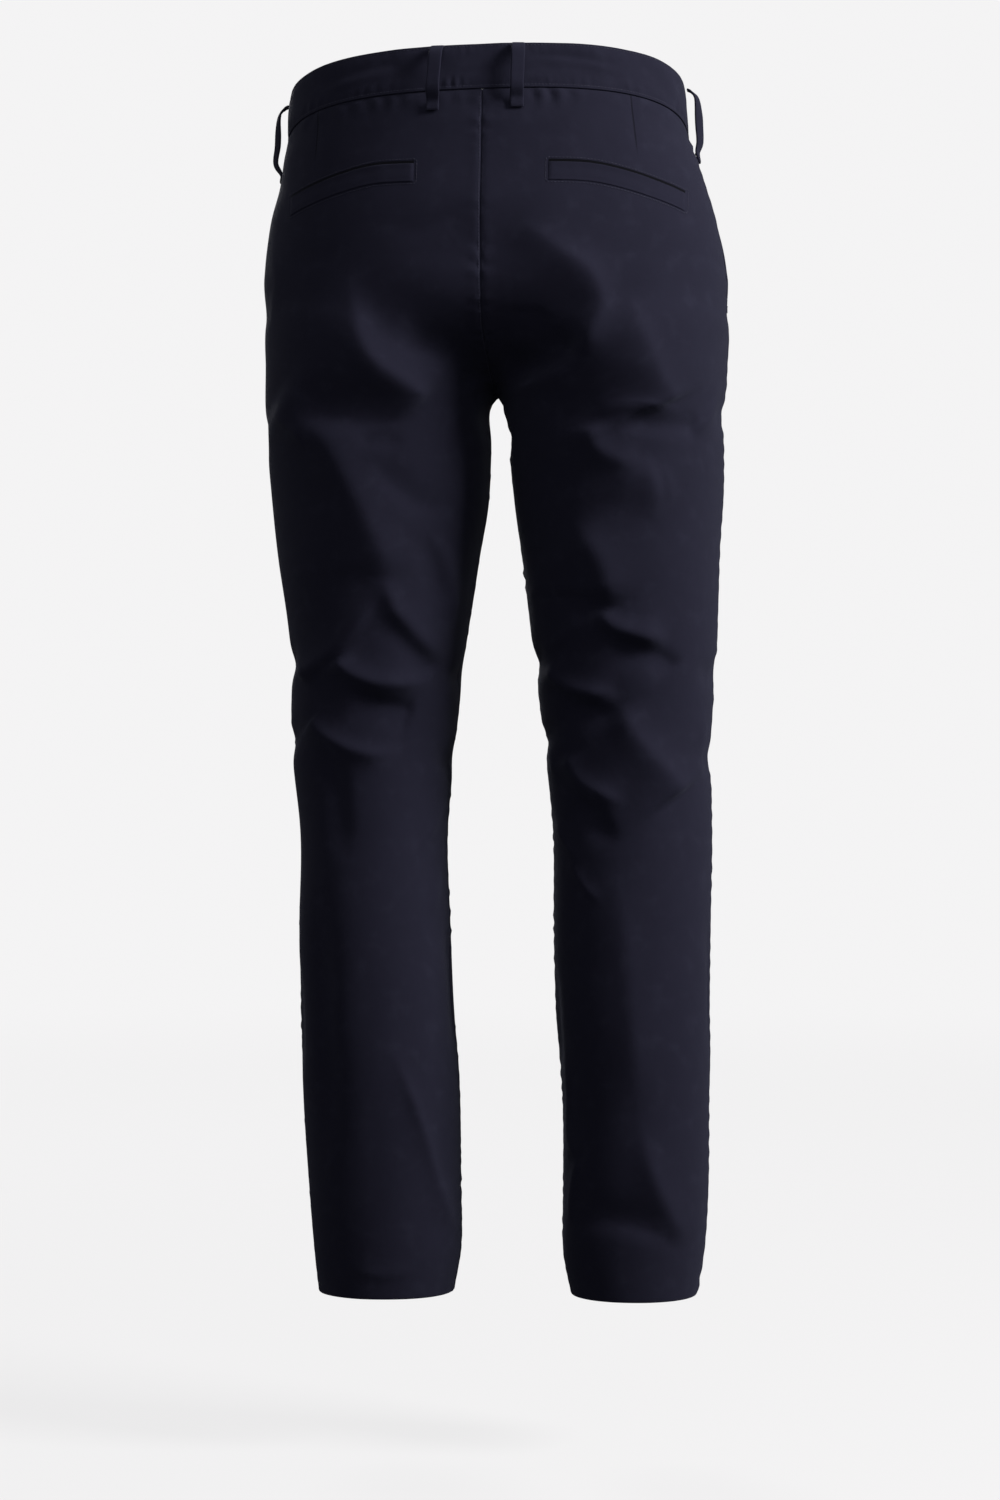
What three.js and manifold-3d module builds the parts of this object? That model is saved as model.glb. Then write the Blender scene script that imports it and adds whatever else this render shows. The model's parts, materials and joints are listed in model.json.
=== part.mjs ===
// Chino trousers in the hollow form that they keep when worn.
// Millimetres, +Z up, front towards -Y, and +X towards the wearer's left.
// The origin is the middle of the waist opening, inside the waistband.

import * as THREE from 'three';
import { mergeVertices } from 'three/addons/utils/BufferGeometryUtils.js';
import Module from 'manifold-3d';

const wasm = await Module();
wasm.setup();

// Driving dimensions

const wall = 1.6; // cotton twill with the seam allowances that stiffen it
const seamGap = 0.3; // space between two pieces that are sewn edge to edge
const crotchLevel = -232;
const hemLevel = -976;
const crotchSideLevel = -250; // level on the side seam of the row that starts at the crotch

const band = { height: 38, wall: 3, proud: 0.6, overlapEnd: 12, underlapEnd: 28, ramp: 32 };
const loop = { width: 11, thickness: 2, belowBand: 17, tab: 7 };
const welt = { height: 15, thickness: 1.2 };
const pocketMouth = { width: 45, depth: 158, lift: 2.4, liftReach: 14 };
const facing = { beyond: 20, behind: 8, below: 14, wall: 1.2, clear: 1 }; // clear of its panel, whose flat cells dip
const fly = { length: 172, lap: 8, lapEnd: 12, push: 2.6, pushWidth: 30, pushBeyond: 6 };
const shield = { left: 34, right: -10, bottom: -180, depth: 8.6, thickness: 1.6 };
const zip = { tapeLeft: 20, tapeRight: -12, tapeDepth: 5.7, tapeThickness: 0.8, bottom: -165 };
const chain = { left: 8, right: 2, depth: 4.9, thickness: 2.4 };
const slider = { width: 8.4, length: 11, taper: 1.4, thickness: 3.4, depth: 4.3, top: -6, clearance: 0.35 };
const pull = { width: 5.4, length: 26, corner: 1.2, thickness: 1.1, depth: 2.9, top: -10 };
const button = { diameter: 17, thickness: 3, rim: 0.9, dish: 1.1, fromEnd: 18 };

// The waistband is sewn on high at the back and low at the front.

const waistSeam = { middle: -8.8, tilt: 0.283, dip: 0.00095, sideDip: 5.7, sideReach: 168, lean: 0.022 };

function waistLevel(x, y) {
  const behind = Math.max(y, 0);
  const sides = waistSeam.sideDip * (x / waistSeam.sideReach) ** 4 + waistSeam.lean * x;
  return waistSeam.middle + waistSeam.tilt * y - waistSeam.dip * behind * behind - sides;
}

// Outline of hips and waist: how far the cloth reaches from the middle, at each level.

const hipTable = [
  { level: 60, left: 168, right: 156, back: 109, front: 104 },
  { level: 30, left: 170.5, right: 159, back: 113.5, front: 107 },
  { level: 8, left: 172, right: 160.5, back: 118.5, front: 110 },
  { level: -14, left: 173, right: 163, back: 123.5, front: 112.5 },
  { level: -28, left: 176, right: 168.5, back: 125.5, front: 114 },
  { level: -53, left: 180, right: 177, back: 130, front: 115 },
  { level: -78, left: 187, right: 185, back: 135, front: 115 },
  { level: -103, left: 190.5, right: 190, back: 138, front: 114 },
  { level: -130, left: 193, right: 193.5, back: 139, front: 112 },
];
const hipMiddle = 4; // the side seams lie this far behind the origin
const seatLevel = -130; // below this level the seat rounds in to the crotch
const seatRounding = 82; // height of that rounding
const hipPower = 2.25; // 2 is an ellipse, more is squarer

// Outline of one leg: outer and inner reach from the middle, and reach to back and front.

const leftLegTable = [
  { level: -60, outer: 140, inner: 20, back: 70, front: 60, middle: 4 },
  { level: -120, outer: 176, inner: 10, back: 104, front: 86, middle: 4 },
  { level: -165, outer: 191, inner: 5, back: 122, front: 98, middle: 3 },
  { level: -205, outer: 192, inner: 2.5, back: 123, front: 105, middle: 0 },
  { level: -240, outer: 193, inner: 3.5, back: 114, front: 108, middle: -4 },
  { level: -310, outer: 188.5, inner: 6, back: 100, front: 108, middle: -6 },
  { level: -363, outer: 183, inner: 14.5, back: 92, front: 104, middle: -8 },
  { level: -439, outer: 173, inner: 26, back: 80, front: 98, middle: -9 },
  { level: -515, outer: 172.5, inner: 34.5, back: 69, front: 88, middle: -8 },
  { level: -590, outer: 164.5, inner: 40.5, back: 70, front: 78, middle: -3 },
  { level: -666, outer: 164, inner: 38, back: 76, front: 68, middle: 3 },
  { level: -741, outer: 163, inner: 34, back: 79, front: 62, middle: 6 },
  { level: -817, outer: 160, inner: 29, back: 77, front: 57, middle: 8 },
  { level: -893, outer: 155, inner: 28, back: 73, front: 54, middle: 9 },
  { level: -940, outer: 151, inner: 28, back: 70, front: 52, middle: 9 },
  { level: -976, outer: 147, inner: 34, back: 67, front: 51, middle: 9 },
];
const rightLegTable = [
  { level: -60, outer: 140, inner: 20, back: 70, front: 60, middle: 4 },
  { level: -120, outer: 178, inner: 10, back: 104, front: 86, middle: 4 },
  { level: -165, outer: 195, inner: 5, back: 122, front: 98, middle: 3 },
  { level: -205, outer: 194.5, inner: 7.5, back: 123, front: 105, middle: 0 },
  { level: -240, outer: 193, inner: 8.5, back: 114, front: 108, middle: -4 },
  { level: -310, outer: 191, inner: 16, back: 100, front: 108, middle: -6 },
  { level: -363, outer: 188, inner: 23, back: 92, front: 104, middle: -8 },
  { level: -439, outer: 186, inner: 32, back: 80, front: 98, middle: -9 },
  { level: -515, outer: 181, inner: 41, back: 69, front: 88, middle: -8 },
  { level: -590, outer: 182, inner: 49, back: 70, front: 78, middle: -3 },
  { level: -666, outer: 181, inner: 50, back: 76, front: 68, middle: 3 },
  { level: -741, outer: 181, inner: 52, back: 79, front: 62, middle: 6 },
  { level: -817, outer: 180, inner: 58, back: 77, front: 57, middle: 8 },
  { level: -893, outer: 179, inner: 58, back: 73, front: 54, middle: 9 },
  { level: -940, outer: 176, inner: 58.5, back: 70, front: 52, middle: 9 },
  { level: -976, outer: 170, inner: 65, back: 67, front: 51, middle: 9 },
];
const legPower = 2.15;
const legTop = -60; // above this level the leg outline ends inside the hips
const legsBlend = 8; // how softly the two legs run together at the crotch
const seatBlend = { middle: 34, side: 14, reach: 70 }; // how softly the legs run into the hips

// The largest folds, as soft ridges (plus) and hollows (minus) along a bent line of three places.

const foldTable = [
  { face: 'back', x1: 112, z1: -178, x2: 88, z2: -212, x3: 40, z3: -242, width: 24, height: 5 },
  { face: 'back', x1: 140, z1: -200, x2: 112, z2: -238, x3: 64, z3: -268, width: 26, height: -7 },
  { face: 'back', x1: -66, z1: -112, x2: -88, z2: -160, x3: -30, z3: -214, width: 26, height: -6 },
  { face: 'back', x1: -110, z1: -236, x2: -142, z2: -243, x3: -176, z3: -250, width: 24, height: 5 },
  { face: 'back', x1: -60, z1: -250, x2: -110, z2: -272, x3: -172, z3: -290, width: 28, height: -6 },
  { face: 'back', x1: 96, z1: -398, x2: 122, z2: -430, x3: 162, z3: -466, width: 22, height: 5 },
  { face: 'back', x1: 126, z1: -470, x2: 102, z2: -488, x3: 60, z3: -500, width: 24, height: -6 },
  { face: 'back', x1: -92, z1: -408, x2: -118, z2: -427, x3: -158, z3: -442, width: 22, height: 5 },
  { face: 'back', x1: -60, z1: -500, x2: -96, z2: -512, x3: -140, z3: -514, width: 24, height: -6 },
  { face: 'front', x1: 18, z1: -196, x2: 62, z2: -178, x3: 120, z3: -150, width: 22, height: -4 },
  { face: 'front', x1: -16, z1: -200, x2: -58, z2: -176, x3: -118, z3: -156, width: 22, height: -4 },
  { face: 'front', x1: 62, z1: -520, x2: 104, z2: -532, x3: 146, z3: -520, width: 24, height: -4 },
  { face: 'front', x1: -70, z1: -512, x2: -112, z2: -528, x3: -158, z3: -522, width: 24, height: -4 },
];
const foldSteps = 10; // straight steps along one fold
const foldFacing = { from: 0.1, to: 0.5 }; // folds fade where the cloth turns to the side
const foldEnds = { reach: 0.35, least: 0.25 }; // share of a fold's length that runs out, and its height there

// Upper edge of a back pocket, from its inner to its outer end, as reach from the middle and level.

const weltTable = [
  { x: 56, z: -50 },
  { x: 88, z: -50.5 },
  { x: 118, z: -56 },
  { x: 144, z: -63 },
  { x: 162, z: -69 },
];

// Belt loops: where each is sewn, how far it stands off for the belt, and how low it ends.

const loopTable = [
  { name: 'belt_loop_back_left', x: 38, y: 1, gap: 9.2, lower: 0 },
  { name: 'belt_loop_back_right', x: -30, y: 1, gap: 9, lower: 0 },
  { name: 'belt_loop_side_left', x: 180, y: 0, gap: 8.6, lower: 10 },
  { name: 'belt_loop_side_right', x: -180, y: 0, gap: 8.2, lower: 6 },
  { name: 'belt_loop_front_left', x: 72, y: -1, gap: 9.8, lower: 0 },
  { name: 'belt_loop_front_right', x: -72, y: -1, gap: 9.8, lower: 0 },
];

// Cells of each solid

const panelColumns = 14;
const riseRows = 12;
const legRows = 18;
const raysPerRow = 120;
const bandSteps = 76;
const bandRows = 3;
const facingRows = 8;
const facingColumns = 4;
const flyRows = 8;
const weltSteps = 16;

// The middle seam drifts a little to the right on its way down to the crotch.

const seamDrift = { reach: -2.5, from: 180, to: 228 };

function middleX(z) {
  return seamDrift.reach * ease(seamDrift.from, seamDrift.to, -z);
}

// Small helpers

function mix(a, b, t) {
  return a + (b - a) * t;
}

function ease(from, to, value) {
  const t = THREE.MathUtils.clamp((value - from) / (to - from), 0, 1);
  return t * t * (3 - 2 * t);
}

function vector(x, y, z) {
  return new THREE.Vector3(x, y, z);
}

// A smooth curve through one column of a table, read by level.

function column(table, name) {
  const rows = [...table].sort((a, b) => a.level - b.level);
  const last = rows.length - 1;
  const slopeBetween = (i, j) => (rows[j][name] - rows[i][name]) / (rows[j].level - rows[i].level);
  const slopes = rows.map((row, i) => slopeBetween(Math.max(i - 1, 0), Math.min(i + 1, last)));
  return (level) => {
    if (level <= rows[0].level) return rows[0][name];
    if (level >= rows[last].level) return rows[last][name];
    const i = rows.findIndex((row) => row.level > level) - 1;
    const span = rows[i + 1].level - rows[i].level;
    const t = (level - rows[i].level) / span;
    const start = rows[i][name] * (1 + 2 * t) * (1 - t) * (1 - t) + slopes[i] * span * t * (1 - t) * (1 - t);
    const end = rows[i + 1][name] * t * t * (3 - 2 * t) + slopes[i + 1] * span * t * t * (t - 1);
    return start + end;
  };
}

const hip = {};
for (const name of ['left', 'right', 'back', 'front']) {
  hip[name] = column(hipTable, name);
}

const legs = { left: {}, right: {} };
for (const name of ['outer', 'inner', 'back', 'front', 'middle']) {
  legs.left[name] = column(leftLegTable, name);
  legs.right[name] = column(rightLegTable, name);
}

// The general figure that the cloth hangs on, as a distance: minus inside, zero on the cloth's outside.

function roundDistance(x, y, z, a, b, c, power) {
  const reach = Math.hypot(x, y, z);
  const sum = Math.abs(x / a) ** power + Math.abs(y / b) ** power + Math.abs(z / c) ** power;
  const ratio = Math.max(sum ** (1 / power), 1e-6);
  return reach - reach / ratio;
}

function hipDistance(x, y, z) {
  const level = Math.max(z, seatLevel);
  const below = Math.min(z - seatLevel, 0);
  const halfWidth = x > 0 ? hip.left(level) : hip.right(level);
  const depth = y > hipMiddle ? hip.back(level) - hipMiddle : hip.front(level) + hipMiddle;
  return roundDistance(x, y - hipMiddle, below, halfWidth, depth, seatRounding, hipPower);
}

function legDistance(leg, sign, x, y, z) {
  const outer = leg.outer(z);
  const inner = leg.inner(z);
  const middle = leg.middle(z);
  const halfWidth = (outer - inner) / 2;
  const across = sign * x - (outer + inner) / 2;
  const depth = y > middle ? leg.back(z) - middle : leg.front(z) + middle;
  return roundDistance(across, y - middle, 0, halfWidth, depth, 1, legPower) + Math.max(z - legTop, 0);
}

function softUnion(a, b, radius) {
  const near = Math.max(radius - Math.abs(a - b), 0) / radius;
  return Math.min(a, b) - near * near * radius / 4;
}

function figure(x, y, z) {
  const left = legDistance(legs.left, 1, x, y, z);
  const right = legDistance(legs.right, -1, x, y, z);
  const bothLegs = softUnion(left, right, legsBlend);
  const nearMiddle = Math.exp(-((x / seatBlend.reach) ** 2));
  return softUnion(hipDistance(x, y, z), bothLegs, mix(seatBlend.side, seatBlend.middle, nearMiddle));
}

function outward(p) {
  const step = 0.5;
  const n = vector(
    figure(p.x + step, p.y, p.z) - figure(p.x - step, p.y, p.z),
    figure(p.x, p.y + step, p.z) - figure(p.x, p.y - step, p.z),
    figure(p.x, p.y, p.z + step) - figure(p.x, p.y, p.z - step)
  );
  return n.normalize();
}

// Walks out from inside the figure along a path until it crosses the cloth, then closes in on it.

function inFigure(x, y, z) {
  return figure(x, y, z) < 0;
}

function crossing(path, isInside = inFigure) {
  const stride = 3;
  const farthest = 330;
  let inside = 0;
  let outside = stride;
  while (outside < farthest && isInside(...path(outside))) {
    inside = outside;
    outside += stride;
  }
  for (let i = 0; i < 26; i += 1) {
    const halfway = (inside + outside) / 2;
    if (isInside(...path(halfway))) inside = halfway;
    else outside = halfway;
  }
  return vector(...path(inside));
}

// The point on the back (way 1) or the front (way -1) at a given reach and level.

function pointOn(way, x, z) {
  return crossing((t) => [x, hipMiddle + way * t, z]);
}

// Folds

const folds = foldTable.map((fold) => {
  const curve = new THREE.QuadraticBezierCurve(
    new THREE.Vector2(fold.x1, fold.z1),
    new THREE.Vector2(2 * fold.x2 - (fold.x1 + fold.x3) / 2, 2 * fold.z2 - (fold.z1 + fold.z3) / 2),
    new THREE.Vector2(fold.x3, fold.z3)
  );
  return { ...fold, facing: fold.face === 'back' ? 1 : -1, places: curve.getPoints(foldSteps) };
});

function foldHeight(p, n) {
  let height = 0;
  for (const fold of folds) {
    const turned = ease(foldFacing.from, foldFacing.to, n.y * fold.facing);
    if (turned === 0) continue;
    let nearest = Infinity;
    let along = 0;
    fold.places.forEach((place, i) => {
      const distance = Math.hypot(p.x - place.x, p.z - place.y);
      if (distance < nearest) {
        nearest = distance;
        along = i / foldSteps;
      }
    });
    const fade = ease(0, foldEnds.reach, along) * ease(0, foldEnds.reach, 1 - along);
    const profile = Math.exp(-((nearest / fold.width) ** 2));
    height += fold.height * profile * mix(foldEnds.least, 1, fade) * turned;
  }
  return height;
}

// A place on the cloth's outside, moved out by the folds and by an extra distance.

function place(p, extra = 0) {
  const n = outward(p);
  return { point: p.clone().addScaledVector(n, foldHeight(p, n) + extra), normal: n };
}

// Solids

function solid(positions, triangles) {
  const geometry = new THREE.BufferGeometry();
  geometry.setAttribute('position', new THREE.Float32BufferAttribute(positions.flatMap((p) => p.toArray()), 3));
  geometry.setIndex(triangles.flat());
  return geometry;
}

// A wall whose outside is a grid of places. Row by row it goes down, column by column it goes along.

function wallSolid(grid, thickness) {
  const rows = grid.length;
  const columns = grid[0].length;
  const outside = grid.flat().map((place) => place.point.clone());
  const inside = grid.flat().map((place) => place.point.clone().addScaledVector(place.normal, -thickness));
  const count = rows * columns;
  const at = (row, col) => row * columns + col;
  const triangles = [];
  const quad = (a, b, c, d) => triangles.push([a, b, c], [a, c, d]);
  for (let row = 0; row < rows - 1; row += 1) {
    for (let col = 0; col < columns - 1; col += 1) {
      const corners = [at(row, col), at(row + 1, col), at(row + 1, col + 1), at(row, col + 1)];
      quad(...corners);
      quad(...corners.map((corner) => corner + count).reverse());
    }
  }
  const rim = [];
  for (let row = 0; row < rows - 1; row += 1) rim.push(at(row, 0));
  for (let col = 0; col < columns - 1; col += 1) rim.push(at(rows - 1, col));
  for (let row = rows - 1; row > 0; row -= 1) rim.push(at(row, columns - 1));
  for (let col = columns - 1; col > 0; col -= 1) rim.push(at(0, col));
  rim.forEach((a, i) => {
    const b = rim[(i + 1) % rim.length];
    quad(b, a, a + count, b + count);
  });
  const along = outside[1].clone().sub(outside[0]);
  const down = outside[columns].clone().sub(outside[0]);
  const facesOut = down.cross(along).dot(grid[0][0].normal) > 0;
  const turned = facesOut ? triangles : triangles.map((triangle) => [...triangle].reverse());
  return solid([...outside, ...inside], turned);
}

// A closed ring section swept through a list of rings, each with the same number of points.

function sweptSolid(rings) {
  const count = rings[0].length;
  const triangles = [];
  for (let ring = 0; ring < rings.length - 1; ring += 1) {
    for (let i = 0; i < count; i += 1) {
      const next = (i + 1) % count;
      const a = ring * count + i;
      const b = ring * count + next;
      triangles.push([a, b, b + count], [a, b + count, a + count]);
    }
  }
  const outline = rings[0].map((p) => p.clone());
  const lastStart = (rings.length - 1) * count;
  const centre = outline.reduce((sum, p) => sum.add(p), vector(0, 0, 0)).divideScalar(count);
  const normal = outline[0].clone().sub(centre).cross(outline[1].clone().sub(centre)).normalize();
  const acrossAxis = outline[0].clone().sub(centre).normalize();
  const upAxis = normal.clone().cross(acrossAxis);
  const flat = outline.map((p) => {
    const d = p.clone().sub(centre);
    return new THREE.Vector2(d.dot(acrossAxis), d.dot(upAxis));
  });
  for (const [a, b, c] of THREE.ShapeUtils.triangulateShape(flat, [])) {
    triangles.push([a, c, b], [a + lastStart, b + lastStart, c + lastStart]);
  }
  const geometry = solid(rings.flat(), triangles);
  return volumeOf(geometry) > 0 ? geometry : solid(rings.flat(), triangles.map((t) => [...t].reverse()));
}

function volumeOf(geometry) {
  const position = geometry.getAttribute('position');
  const index = geometry.getIndex();
  const corner = (i) => vector().fromBufferAttribute(position, index.getX(i));
  let volume = 0;
  for (let i = 0; i < index.count; i += 3) {
    volume += corner(i).dot(corner(i + 1).cross(corner(i + 2))) / 6;
  }
  return volume;
}

// Lines on the cloth

function lengths(points) {
  const sums = [0];
  for (let i = 1; i < points.length; i += 1) {
    sums.push(sums[i - 1] + points[i].distanceTo(points[i - 1]));
  }
  return sums;
}

function pointAlong(points, sums, distance) {
  const last = points.length - 1;
  const i = THREE.MathUtils.clamp(sums.findIndex((sum) => sum > distance), 1, last);
  const found = distance >= sums[last] ? last : i;
  const t = (distance - sums[found - 1]) / Math.max(sums[found] - sums[found - 1], 1e-9);
  return points[found - 1].clone().lerp(points[found], t);
}

// The seam that runs from the back of the waist under the crotch to the front of the waist.

function seatSeam() {
  const centreY = 8;
  const centreZ = -110;
  const steps = 240;
  const points = [];
  for (let i = 0; i <= steps; i += 1) {
    const angle = THREE.MathUtils.degToRad(mix(60, -240, i / steps));
    points.push(crossing((t) => {
      const z = centreZ + t * Math.sin(angle);
      return [middleX(z), centreY + t * Math.cos(angle), z];
    }));
  }
  const below = [
    bandPlace(Math.PI, 0),
    ...points.filter((p) => p.z < waistLevel(0, p.y) - 0.5),
    bandPlace(0, 0),
  ];
  const lowest = below.reduce((best, p, i) => (p.z < below[best].z ? i : best), 0);
  return { back: below.slice(0, lowest + 1), front: below.slice(lowest).reverse() };
}

const seatSeamHalves = seatSeam();
const seamHalf = {
  back: { points: seatSeamHalves.back, sums: lengths(seatSeamHalves.back) },
  front: { points: seatSeamHalves.front, sums: lengths(seatSeamHalves.front) },
};

// One row of a panel: a fine line on the cloth from the side seam to the seat seam or the inseam.
// spread is how far the line goes on past each of its ends, in radians as seen from the leg's axis.

function rowLevel(row) {
  if (row <= riseRows) return mix(0, crotchSideLevel, row / riseRows);
  return mix(crotchSideLevel, hemLevel, (row - riseRows) / legRows);
}

function rowLine(sign, face, row, spreadStart = 0, spreadEnd = 0) {
  const level = rowLevel(row);
  const leg = sign > 0 ? legs.left : legs.right;
  const way = face === 'back' ? 1 : -1;
  const follow = 1 - ease(0, 150, -level);
  const axisX = sign * (leg.outer(Math.min(level, -120)) + leg.inner(Math.min(level, -120))) / 2;
  const axisY = leg.middle(level);
  const flatHeight = (x, y) => level + follow * waistLevel(x, y);
  const onOwnSide = (x, y, z) => inFigure(x, y, z) && sign * (x - middleX(z)) > 0;
  const isInside = spreadEnd > 0 ? inFigure : onOwnSide;
  const side = crossing((t) => [axisX + sign * t, axisY, flatHeight(axisX + sign * t, axisY)]);
  let edge;
  if (row <= riseRows) {
    const half = seamHalf[face];
    edge = pointAlong(half.points, half.sums, half.sums[half.sums.length - 1] * row / riseRows);
  } else {
    const lift = (crotchLevel - crotchSideLevel) * (1 - ease(0, 180, crotchSideLevel - level));
    edge = crossing((t) => [axisX - sign * t, axisY, level + lift], isInside);
  }
  const edgeRise = edge.z - flatHeight(edge.x, edge.y);
  const heightAt = (x, y) => {
    const across = THREE.MathUtils.clamp((side.x - x) / (side.x - edge.x), 0, 1.1);
    return flatHeight(x, y) + edgeRise * across;
  };
  const edgeAngle = Math.atan2(way * (edge.y - axisY), -sign * (edge.x - axisX));
  const startAngle = Math.PI + spreadStart;
  const endAngle = Math.max(edgeAngle, 0) - spreadEnd;
  const points = [];
  for (let i = 0; i <= raysPerRow; i += 1) {
    const angle = mix(startAngle, endAngle, i / raysPerRow);
    const dx = -sign * Math.cos(angle);
    const dy = way * Math.sin(angle);
    if (i === raysPerRow && spreadEnd === 0) {
      points.push(edge.clone());
    } else {
      points.push(crossing((t) => {
        const x = axisX + dx * t;
        const y = axisY + dy * t;
        return [x, y, heightAt(x, y)];
      }, isInside));
    }
  }
  return { points, sums: lengths(points), side, edge, level };
}

// Distance along a row line to where it crosses a given x, seen from the side seam.

function distanceToX(line, sign, x) {
  const i = line.points.findIndex((p) => sign * p.x <= sign * x);
  if (i < 1) return line.sums[line.sums.length - 1];
  const before = line.points[i - 1];
  const after = line.points[i];
  return mix(line.sums[i - 1], line.sums[i], (before.x - x) / (before.x - after.x));
}

// The front pocket mouth runs from the waist seam, forward of the side seam, down to the side seam.

function mouthWidth(level) {
  return pocketMouth.width * THREE.MathUtils.clamp(1 + level / pocketMouth.depth, 0, 1);
}

function mouthLift(level, distance) {
  const along = THREE.MathUtils.clamp(-level / pocketMouth.depth, 0, 1);
  const bulge = Math.sin(Math.PI * along ** 1.6);
  return pocketMouth.lift * bulge * Math.exp(-((distance / pocketMouth.liftReach) ** 2));
}

// The left front laps over the right front at the fly, which is pushed in to lie beneath it.

function flyLap(level) {
  return level > -fly.length + fly.lapEnd ? fly.lap : 0;
}

function flyPush(x, level) {
  const nearMiddle = 1 - ease(fly.pushWidth / 3, fly.pushWidth, Math.abs(x));
  return level > -fly.length - fly.pushBeyond ? fly.push * nearMiddle : 0;
}

function panel(side, face) {
  const sign = side === 'left' ? 1 : -1;
  const isFront = face === 'front';
  const rows = riseRows + legRows;
  const grid = [];
  for (let row = 0; row <= rows; row += 1) {
    const level = rowLevel(row);
    const laps = isFront && side === 'left' && flyLap(level) > 0;
    const line = rowLine(sign, face, row, 0, laps ? 0.12 : 0);
    const whole = line.sums[line.sums.length - 1];
    const start = (isFront ? mouthWidth(level) : 0) + seamGap / 2;
    const end = laps ? distanceToX(line, sign, -flyLap(level)) : whole - seamGap / 2;
    const places = [];
    for (let col = 0; col <= panelColumns; col += 1) {
      const distance = mix(start, end, col / panelColumns);
      const p = pointAlong(line.points, line.sums, distance);
      if (row === 0) p.z -= seamGap / 2;
      let extra = 0;
      if (isFront && level > -pocketMouth.depth) extra += mouthLift(level, distance - start);
      if (isFront && side === 'right') extra -= flyPush(p.x, level);
      places.push(place(p, extra));
    }
    grid.push(places);
  }
  return wallSolid(grid, wall);
}

// The facing under a front pocket mouth, which reaches behind the side seam and beyond the mouth.

function pocketFacing(side) {
  const sign = side === 'left' ? 1 : -1;
  const depth = wall + facing.clear;
  const grid = [];
  for (let i = 0; i <= facingRows; i += 1) {
    const row = mix(0, riseRows * (pocketMouth.depth + facing.below) / -crotchSideLevel, i / facingRows);
    const line = rowLine(sign, 'front', row, 0.1, 0);
    const sideDistance = line.sums[line.points.findIndex((p) => p.y <= line.side.y)];
    const places = [];
    for (let col = 0; col <= facingColumns; col += 1) {
      const width = mouthWidth(line.level) + facing.beyond;
      const distance = sideDistance + mix(-facing.behind, width, col / facingColumns);
      const p = pointAlong(line.points, line.sums, distance);
      if (i === 0) p.z -= 0.5;
      places.push(place(p, -depth));
    }
    grid.push(places);
  }
  return wallSolid(grid, facing.wall);
}

// A welt that covers a back pocket, lying on its panel.

function weltSolid(side) {
  const sign = side === 'left' ? 1 : -1;
  const spline = new THREE.CatmullRomCurve3(weltTable.map((row) => vector(sign * row.x, 0, row.z)));
  const upper = spline.getSpacedPoints(weltSteps);
  const grid = [0, 0.5, 1].map((down) => upper.map((p) => {
    const onPanel = pointOn(1, p.x, p.z - down * welt.height);
    return place(onPanel, seamGap + welt.thickness);
  }));
  return wallSolid(grid, welt.thickness);
}

// The waistband: one strip, open at the front, with its left end lapped over its right end.

function bandPlace(angle, up) {
  const dx = Math.sin(angle);
  const dy = -Math.cos(angle);
  return crossing((t) => {
    const x = dx * t;
    const y = hipMiddle + dy * t;
    return [x, y, waistLevel(x, y) + up];
  });
}

function bandSolid() {
  const frontReach = hip.front(0) + hipMiddle;
  const start = -Math.atan(band.overlapEnd / frontReach);
  const end = 2 * Math.PI + Math.atan(band.underlapEnd / frontReach);
  const fullPush = band.wall + seamGap;
  const grid = [];
  for (let i = 0; i <= bandRows; i += 1) {
    const up = mix(band.height, seamGap / 2, i / bandRows);
    const places = [];
    for (let step = 0; step <= bandSteps; step += 1) {
      const angle = mix(start, end, step / bandSteps);
      const p = bandPlace(angle, up);
      const underlap = angle > Math.PI ? (angle - 2 * Math.PI) * frontReach : -Infinity;
      const push = fullPush * ease(-band.overlapEnd - band.ramp, -band.overlapEnd - 3, underlap);
      places.push({ point: p.clone().addScaledVector(outward(p), band.proud - push), normal: outward(p) });
    }
    grid.push(places);
  }
  return wallSolid(grid, band.wall);
}

// A belt loop: a strip from the top of the band, out over the belt's place, and down to the panel.

function loopSolid(row) {
  const angle = Math.abs(row.x) > 170 ? Math.sign(row.x) * Math.PI / 2 : loopAngle(row.x, row.y);
  const half = loop.thickness / 2;
  const rest = band.proud + seamGap + half;
  const bottom = -loop.belowBand - row.lower;
  const middle = (band.height + bottom) / 2;
  const profile = new THREE.CatmullRomCurve3([
    vector(rest, 0, band.height - 0.5),
    vector(rest + row.gap * 0.5, 0, band.height - 3.5),
    vector(rest + row.gap, 0, band.height - 11),
    vector(rest + row.gap, 0, middle),
    vector(rest + row.gap * 0.85, 0, bottom + loop.tab + 10),
    vector(rest + row.gap * 0.15, 0, bottom + loop.tab + 1),
    vector(rest, 0, bottom),
  ], false, 'catmullrom', 0.5);
  const steps = 16;
  const base = bandPlace(angle, band.height / 2);
  const outDirection = outward(base).setZ(0).normalize();
  const acrossDirection = vector(0, 0, 1).cross(outDirection);
  const rings = [];
  for (let i = 0; i <= steps; i += 1) {
    const here = profile.getPointAt(i / steps);
    const tangent = profile.getTangentAt(i / steps);
    const onCloth = bandPlace(angle, here.z);
    const centre = onCloth.clone().addScaledVector(outDirection, here.x);
    const outStep = vector(0, 0, 0).addScaledVector(outDirection, -tangent.z * half);
    outStep.z += tangent.x * half;
    const sideStep = acrossDirection.clone().multiplyScalar(loop.width / 2);
    rings.push([
      centre.clone().add(outStep).add(sideStep),
      centre.clone().add(outStep).sub(sideStep),
      centre.clone().sub(outStep).sub(sideStep),
      centre.clone().sub(outStep).add(sideStep),
    ]);
  }
  return sweptSolid(rings);
}

function loopAngle(x, way) {
  const p = pointOn(way, x, band.height / 2);
  return Math.atan2(p.x, -(p.y - hipMiddle));
}

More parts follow.
